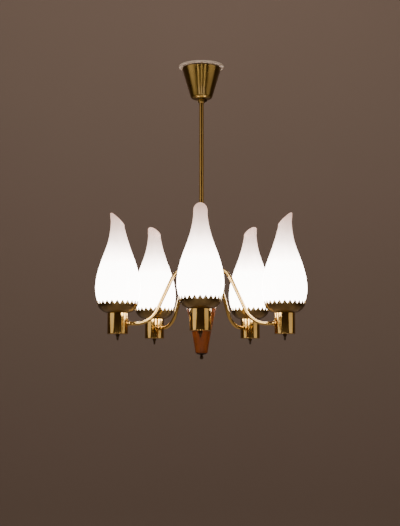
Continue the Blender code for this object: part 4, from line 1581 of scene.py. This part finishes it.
class CHANDELIER_OT_arms(bpy.types.Operator):
    """Bend the arms and turn their collar nuts"""

    bl_idname = "chandelier.arms"
    bl_label = "Arms"

    def execute(self, context):
        sizes = context.scene.chandelier_lamp
        circle = context.scene.chandelier_hub.arm_circle
        wall = context.scene.chandelier_hub.tube_wall
        foot, top = lamp_span("arm_1")
        apex = top - ARM_RADIUS
        end = -low("arm_1").y
        # Centres of the three bends, as distance out and height. The straight slope between
        # the last two runs along the line that touches both bends.
        inner = Vector((circle + sizes.inner_bend, apex - sizes.inner_bend))
        upper = Vector((inner.x, apex - sizes.upper_bend))
        cover_side = LAMP_CIRCLE - COVER_RADIUS
        lower = Vector((cover_side - sizes.level_run, ARM_EXIT + sizes.lower_bend))
        between = lower - upper
        lean = math.asin((sizes.upper_bend + sizes.lower_bend) / between.length)
        fall = lean - math.atan2(between.y, between.x)
        slope = Vector((math.cos(fall), -math.sin(fall)))
        run = between.dot(slope)
        y_axis = Vector((0, 1, 0))
        arm = tube("brass_arm", (circle, 0, foot), ARM_RADIUS, [
            (extrude, (0, 0, inner.y - foot)),
            (bend, (inner.x, 0, inner.y), y_axis, math.pi / 2, 24),
            (bend, (upper.x, 0, upper.y), y_axis, fall, 24),
            (extrude, (slope.x * run, 0, slope.y * run)),
            (bend, (lower.x, 0, lower.y), -y_axis, fall, 28),
            (extrude, (end - lower.x, 0, 0)),
        ])
        heal()
        finish(arm, 60)
        thicken(arm, wall)
        copy_to_lamps(arm, "Bent brass tube", "fixture", "lamp_brass", "arm_{}", arm_place)

        inner_face, outer_face = -high("arm_nut_1").y, -low("arm_nut_1").y
        radius = high("arm_nut_1").x
        hole = ARM_RADIUS * ARM_FIT
        nut = turned(
            "brass_arm_nut",
            rounded([
                (radius, outer_face, sizes.nut_edge / 2),
                (radius, inner_face, sizes.nut_edge),
                (hole, inner_face),
                (hole, outer_face),
            ]),
            40,
        )
        lay_down = Matrix.Rotation(math.pi / 2, 4, "Y")
        nut.matrix_world = Matrix.Translation((0, 0, ARM_EXIT)) @ lay_down
        finish(nut)
        copy_to_lamps(nut, "Polished brass", "fixture", "lamp_brass", "arm_nut_{}", arm_place)
        return {"FINISHED"}


class CHANDELIER_OT_lampholders(bpy.types.Operator):
    """Spin the lampholder covers, and mould the sockets in them"""

    bl_idname = "chandelier.lampholders"
    bl_label = "Lampholders"

    def execute(self, context):
        sizes = context.scene.chandelier_lamp
        stud = context.scene.chandelier_hub.stud_radius * SCREW_FIT
        inside = COVER_RADIUS - sizes.cover_wall
        cover = turned(
            "brass_cover",
            rounded([
                (stud, 0),
                (COVER_RADIUS, 0, sizes.cover_edge),
                (COVER_RADIUS, COVER_HEIGHT, sizes.cover_wall / 4),
                (inside, COVER_HEIGHT, sizes.cover_wall / 4),
                (inside, sizes.cover_wall),
                (stud, sizes.cover_wall),
            ]),
            96,
        )
        drill(
            cover,
            (-2 * COVER_RADIUS, 0, ARM_EXIT),
            (-COVER_RADIUS / 2, 0, ARM_EXIT),
            ARM_RADIUS * ARM_FIT,
        )
        bpy.ops.object.shade_smooth_by_angle(angle=math.radians(35))
        copy_to_lamps(cover, "Polished brass", "fixture", "lamp_brass", "lampholder_cover_{}")

        foot, top = lamp_span("socket_1")
        flange = high("socket_1").x
        outside = sizes.socket_bore + sizes.socket_wall
        socket = turned(
            "bakelite_socket",
            rounded([
                (0, foot),
                (outside, foot, 0.8 * MM),
                (outside, top - sizes.flange),
                (flange, top - sizes.flange, 0.3 * MM),
                (flange, top, 0.7 * MM),
                (sizes.socket_bore, top, 0.6 * MM),
                (sizes.socket_bore, foot + sizes.socket_floor),
                (0, foot + sizes.socket_floor),
            ]),
            64,
        )
        copy_to_lamps(socket, "Moulded bakelite", "fixture", "bakelite", "socket_{}")
        return {"FINISHED"}


class CHANDELIER_OT_cups(bpy.types.Operator):
    """Spin the cups that hold the glass, with their crowns of teeth"""

    bl_idname = "chandelier.cups"
    bl_label = "Cups"

    def execute(self, context):
        sizes = context.scene.chandelier_lamp
        # One tooth's width of the bowl is spun, its rim drawn up to a tip, and that is spun round.
        tooth = math.tau / sizes.teeth
        knots = [(r * MM, z * MM) for r, z in CUP_KNOTS]
        bowl = [knots[0], *smooth_line(knots[1:], 5)]
        cup = draw_profile("crowned_cup", bowl)
        bpy.ops.transform.rotate(value=-tooth / 2, orient_axis="Z", center_override=(0, 0, 0))
        bpy.ops.mesh.spin(steps=6, angle=tooth, center=(0, 0, 0), axis=(0, 0, 1))
        heal()
        rim = bowl[-1][1]
        select_where(cup, lambda vert: vert.co.z > rim - WELD)
        extrude((sizes.cup_tip - bowl[-1][0], 0, sizes.cup_tooth))
        bpy.ops.transform.resize(value=(1, TOOTH_TIP, 1), center_override=(sizes.cup_tip, 0, 0))
        bpy.ops.mesh.select_all(action="SELECT")
        bpy.ops.mesh.spin(
            steps=sizes.teeth - 1,
            angle=math.tau - tooth,
            center=(0, 0, 0),
            axis=(0, 0, 1),
            dupli=True,
        )
        heal()
        finish(cup, 30)
        face_out(cup)
        thicken(cup, sizes.cup_wall)
        soften(cup, sizes.cup_wall / 4, over=60)
        copy_to_lamps(cup, "Browned cup brass", "fixture", "lamp_brass", "cup_{}")
        return {"FINISHED"}


class CHANDELIER_OT_shades(bpy.types.Operator):
    """Blow the flame-shaped shades, their mouths cut on a slant and fire-polished"""

    bl_idname = "chandelier.shades"
    bl_label = "Glass shades"

    def execute(self, context):
        sizes = context.scene.chandelier_shade
        knots = [(r * MM, z * MM) for r, z in SHADE_KNOTS]
        outline = smooth_line(knots, 6)
        _, tip = lamp_span("shade_1")
        shade = draw_profile("glass_shade", outline)
        bpy.ops.mesh.spin(steps=96, angle=math.tau, center=(0, 0, 0), axis=(0, 0, 1))
        heal()
        shape = bmesh.from_edit_mesh(shade.data)
        rows = [
            {vert.index for vert in shape.verts if abs(vert.co.z - height) < WELD}
            for _, height in outline
        ]
        # Each row of the neck is tilted, stretched so that it is still round from above, and
        # moved out. So the rows fan open to the slanted mouth, and the tip leans away.
        lean_rate = sizes.lean / sizes.neck_length
        slope = math.tan(sizes.slant) / (1 - lean_rate * math.tan(sizes.slant))
        start, mouth = SLANT_START * MM, outline[-1][1]
        for i, (radius, height) in enumerate(outline):
            lean = max(0, sizes.lean - (tip - height) * lean_rate)
            rise = max(0, (height - start) / (mouth - start)) * slope
            if not lean and not rise:
                continue
            before, after = outline[max(i - 1, 0)], outline[min(i + 1, len(outline) - 1)]
            flare = (after[0] - before[0]) / (after[1] - before[1])
            centre = (0, 0, height)
            row = rows[i]
            select_where(shade, lambda vert: vert.index in row)
            tilt = math.asin(rise)
            bpy.ops.transform.rotate(value=tilt, orient_axis="Y", center_override=centre)
            stretch = (1 + lean_rate * rise) / math.cos(tilt)
            bpy.ops.transform.resize(value=(stretch, 1, 1), center_override=centre)
            bpy.ops.transform.translate(value=(lean + radius * flare * rise, 0, 0))
        finish(shade, 60)
        face_out(shade)
        thicken(shade, sizes.wall)
        soften(shade, sizes.lip, smooth=60, segments=4, over=50)
        copy_to_lamps(shade, "Flashed opal glass", "shade_{}", "opal_glass", "shade_{}")
        return {"FINISHED"}


class CHANDELIER_OT_bulbs(bpy.types.Operator):
    """Blow the round bulbs and roll their screw caps"""

    bl_idname = "chandelier.bulbs"
    bl_label = "Bulbs"

    def execute(self, context):
        sizes = context.scene.chandelier_lamp
        foot, top = lamp_span("bulb_1")
        globe = sizes.bulb_radius
        centre = top - globe
        neck = sizes.cap_radius - 1 * MM
        contact, skirt = 5 * MM, 5 * MM  # below and above the cap's thread
        cap_foot = foot + contact
        cap_top = cap_foot + sizes.cap_length + skirt
        glass_foot = cap_top - 2 * MM
        # The neck is straight up to its shoulder and then swells into the globe, which it
        # meets a little above the place where a straight neck would.
        swell = 0.12
        start = -math.acos(neck / globe)
        shoulder = (cap_top + centre - globe * 0.84) / 2 + 1 * MM
        glass = turned(
            "frosted_globe",
            [(0, glass_foot), (neck - 0.5 * MM, glass_foot)]
            + smooth_line([(neck, cap_top + 1 * MM), (neck, shoulder)], 3)
            + arc((0, centre), globe, start + swell, math.pi / 2, 28)[:-1]
            + [(0, top)],
            64,
        )
        copy_to_lamps(glass, "Frosted bulb glass", "bulb_{}", "bulb_glass", "bulb_{}")

        # The thread is rolled as rings, eight rows of points to each.
        pitch = sizes.thread_pitch
        turns = int(sizes.cap_length / pitch)
        thread = []
        for i in range(8 * turns + 1):
            depth = 0.4 * MM * (1 - math.cos(math.tau * i / 8))
            thread.append((sizes.cap_radius - depth, cap_foot + 2 * MM + i * pitch / 8))
        cap = turned(
            "threaded_cap",
            [
                (0, foot),
                (3 * MM, foot),
                (4 * MM, foot + 1.5 * MM),
                (sizes.cap_radius * 0.7, cap_foot),
                (sizes.cap_radius - 0.9 * MM, cap_foot + 1.2 * MM),
                *thread,
                (sizes.cap_radius - 0.2 * MM, cap_top),
                (neck + 0.1 * MM, cap_top),
                (neck + 0.1 * MM, cap_top - 1 * MM),
                (0, cap_top - 1 * MM),
            ],
            48,
        )
        keep_own_place(cap)
        for number in LAMPS:
            copy = copy_to(cap, f"threaded_cap_{number}", lamp_place(number))
            dress(copy, "Nickel-plated brass", f"bulb_{number}", "bulb_glass")
        bpy.data.objects.remove(cap)
        return {"FINISHED"}


class CHANDELIER_OT_lamp_finials(bpy.types.Operator):
    """Turn the small finials under the lampholders"""

    bl_idname = "chandelier.lamp_finials"
    bl_label = "Lamp finials"

    def execute(self, context):
        sizes = context.scene.chandelier_lamp
        stud = context.scene.chandelier_hub.stud_radius
        foot, top = lamp_span("lamp_finial_1")
        seat = -SEAT_GAP
        length_below = seat - foot
        finial = turned(
            "brass_lamp_finial",
            rounded([
                (0, top),
                (stud, top, 0.4 * MM),
                (stud, seat),
                (sizes.finial_top, seat, 0.3 * MM),
                (sizes.finial_top, seat - 2.6 * MM, 0.7 * MM),
                (sizes.finial_top * 0.68, seat - 4.4 * MM),
                (sizes.finial_top * 0.6, seat - 5.85 * MM),
                (sizes.finial_top * 0.52, seat - 0.7 * length_below),
                (sizes.finial_top * 0.4, foot + 0.9 * MM),
                (sizes.finial_top * 0.27, foot, 0.5 * MM),
                (0, foot),
            ]),
            32,
        )
        copy_to_lamps(finial, "Darkened brass", "fixture", "dark_brass", "lamp_finial_{}")
        return {"FINISHED"}


class CHANDELIER_OT_stage(bpy.types.Operator):
    """Set up the floor, backdrop, lights and camera"""

    bl_idname = "chandelier.stage"
    bl_label = "Stage"

    def execute(self, context):
        scene = context.scene
        # Metres: the floor's height, the wall's distance and top, and the bend between them.
        floor, radius, wall_top, cove = -3.2, 7.0, 10, 1.6
        flat = [(0, floor), (radius - cove, floor)]
        bend_up = arc((radius - cove, floor + cove), cove, -math.pi / 2, 0, 12)
        upright = [*bend_up, (radius, wall_top)]
        sheets = [("floor_sheet", flat, "Floor paper"), ("wall_sheet", upright, "Wall paper")]
        for name, outline, material in sheets:
            sheet = draw_profile(name, outline)
            bpy.ops.mesh.spin(steps=96, angle=math.tau, center=(0, 0, 0), axis=(0, 0, 1))
            heal()
            finish(sheet, 60)
            sheet.data.materials.append(bpy.data.materials[material])

        # Name, place, what it points at, diameter in metres, watts and colour. The three low
        # ones are there for the upright streaks that the canopy mirrors.
        lights = [
            ("Key", (-3.6, -1.8, 0.4), (0, 0, -0.45), 3.8, 40, "FFF0E0"),
            ("Fill", (3.8, -1.6, 0.1), (0, 0, -0.45), 3.8, 29, "FFEDDB"),
            ("Low left", (-1.45, -3.5, -1.6), (0, 0, -0.2), 0.4, 9, "FFF1E4"),
            ("Low centre", (0.03, -3.8, -1.6), (0, 0, -0.2), 0.3, 6, "FFF1E4"),
            ("Low right", (1.5, -3.5, -1.6), (0, 0, -0.2), 0.4, 8, "FFF1E4"),
            ("Floor wash", (0, -0.8, 3.2), (0, -0.8, -3.2), 3.0, 110, "FFF3E8"),
            ("Wall wash", (0, 2.6, 3.6), (0, 6.4, 1.6), 4.0, 190, "FFEFE4"),
        ]
        for name, place, aim, size, power, tint in lights:
            bpy.ops.object.light_add(type="AREA", location=place)
            light = bpy.context.object
            light.name = name
            light.data.shape = "DISK"
            light.data.size = size
            light.data.energy = power
            light.data.color = linear(tint)
            along = Vector(aim) - Vector(place)
            light.rotation_euler = along.to_track_quat("-Z", "Y").to_euler()

        world = bpy.data.worlds.new("Studio")
        world.use_nodes = True
        background = world.node_tree.nodes["Background"]
        background.inputs["Color"].default_value = (*linear("B9A899"), 1)
        background.inputs["Strength"].default_value = 0.15
        scene.world = world

        # It looks up at the lamps from just below them and a little to their right. Radians.
        rise, turn = 0.108, 0.012
        bpy.ops.object.camera_add(
            location=(0.0323, -2.6952, -0.7399), rotation=(math.pi / 2 + rise, 0, turn)
        )
        camera = bpy.context.object
        camera.name = "Studio camera"
        camera.data.lens = 83.5
        camera.data.shift_x = -0.00284
        scene.camera = camera
        return {"FINISHED"}


# ---------------------------------------------------------------- panel and start


OPERATORS = (
    CHANDELIER_OT_materials,
    CHANDELIER_OT_ceiling_plate,
    CHANDELIER_OT_hook,
    CHANDELIER_OT_shackle,
    CHANDELIER_OT_stem_eye,
    CHANDELIER_OT_terminal_block,
    CHANDELIER_OT_canopy,
    CHANDELIER_OT_canopy_collar,
    CHANDELIER_OT_stem,
    CHANDELIER_OT_hub,
    CHANDELIER_OT_teak_body,
    CHANDELIER_OT_bottom_finial,
    CHANDELIER_OT_arms,
    CHANDELIER_OT_lampholders,
    CHANDELIER_OT_cups,
    CHANDELIER_OT_shades,
    CHANDELIER_OT_bulbs,
    CHANDELIER_OT_lamp_finials,
    CHANDELIER_OT_stage,
)


class CHANDELIER_PT_panel(bpy.types.Panel):
    """Lists the pieces and the sizes they are made to"""

    bl_idname = "CHANDELIER_PT_panel"
    bl_label = "Chandelier"
    bl_space_type = "VIEW_3D"
    bl_region_type = "UI"
    bl_category = "Chandelier"

    def draw(self, context):
        for operator in OPERATORS:
            self.layout.operator(operator.bl_idname)
        for name, group in SETTINGS.items():
            settings = getattr(context.scene, name)
            frame_box = self.layout.box()
            frame_box.label(text=group.__doc__)
            for prop in group.__annotations__:
                frame_box.prop(settings, prop)


def register():
    for name, group in SETTINGS.items():
        bpy.utils.register_class(group)
        setattr(bpy.types.Scene, name, PointerProperty(type=group))
    for operator in OPERATORS:
        bpy.utils.register_class(operator)
    bpy.utils.register_class(CHANDELIER_PT_panel)


def unregister():
    bpy.utils.unregister_class(CHANDELIER_PT_panel)
    for operator in reversed(OPERATORS):
        bpy.utils.unregister_class(operator)
    for name, group in SETTINGS.items():
        delattr(bpy.types.Scene, name)
        bpy.utils.unregister_class(group)


def main():
    register()
    for operator in OPERATORS:
        category, name = operator.bl_idname.split(".")
        getattr(getattr(bpy.ops, category), name)()


if __name__ == "__main__":
    main()
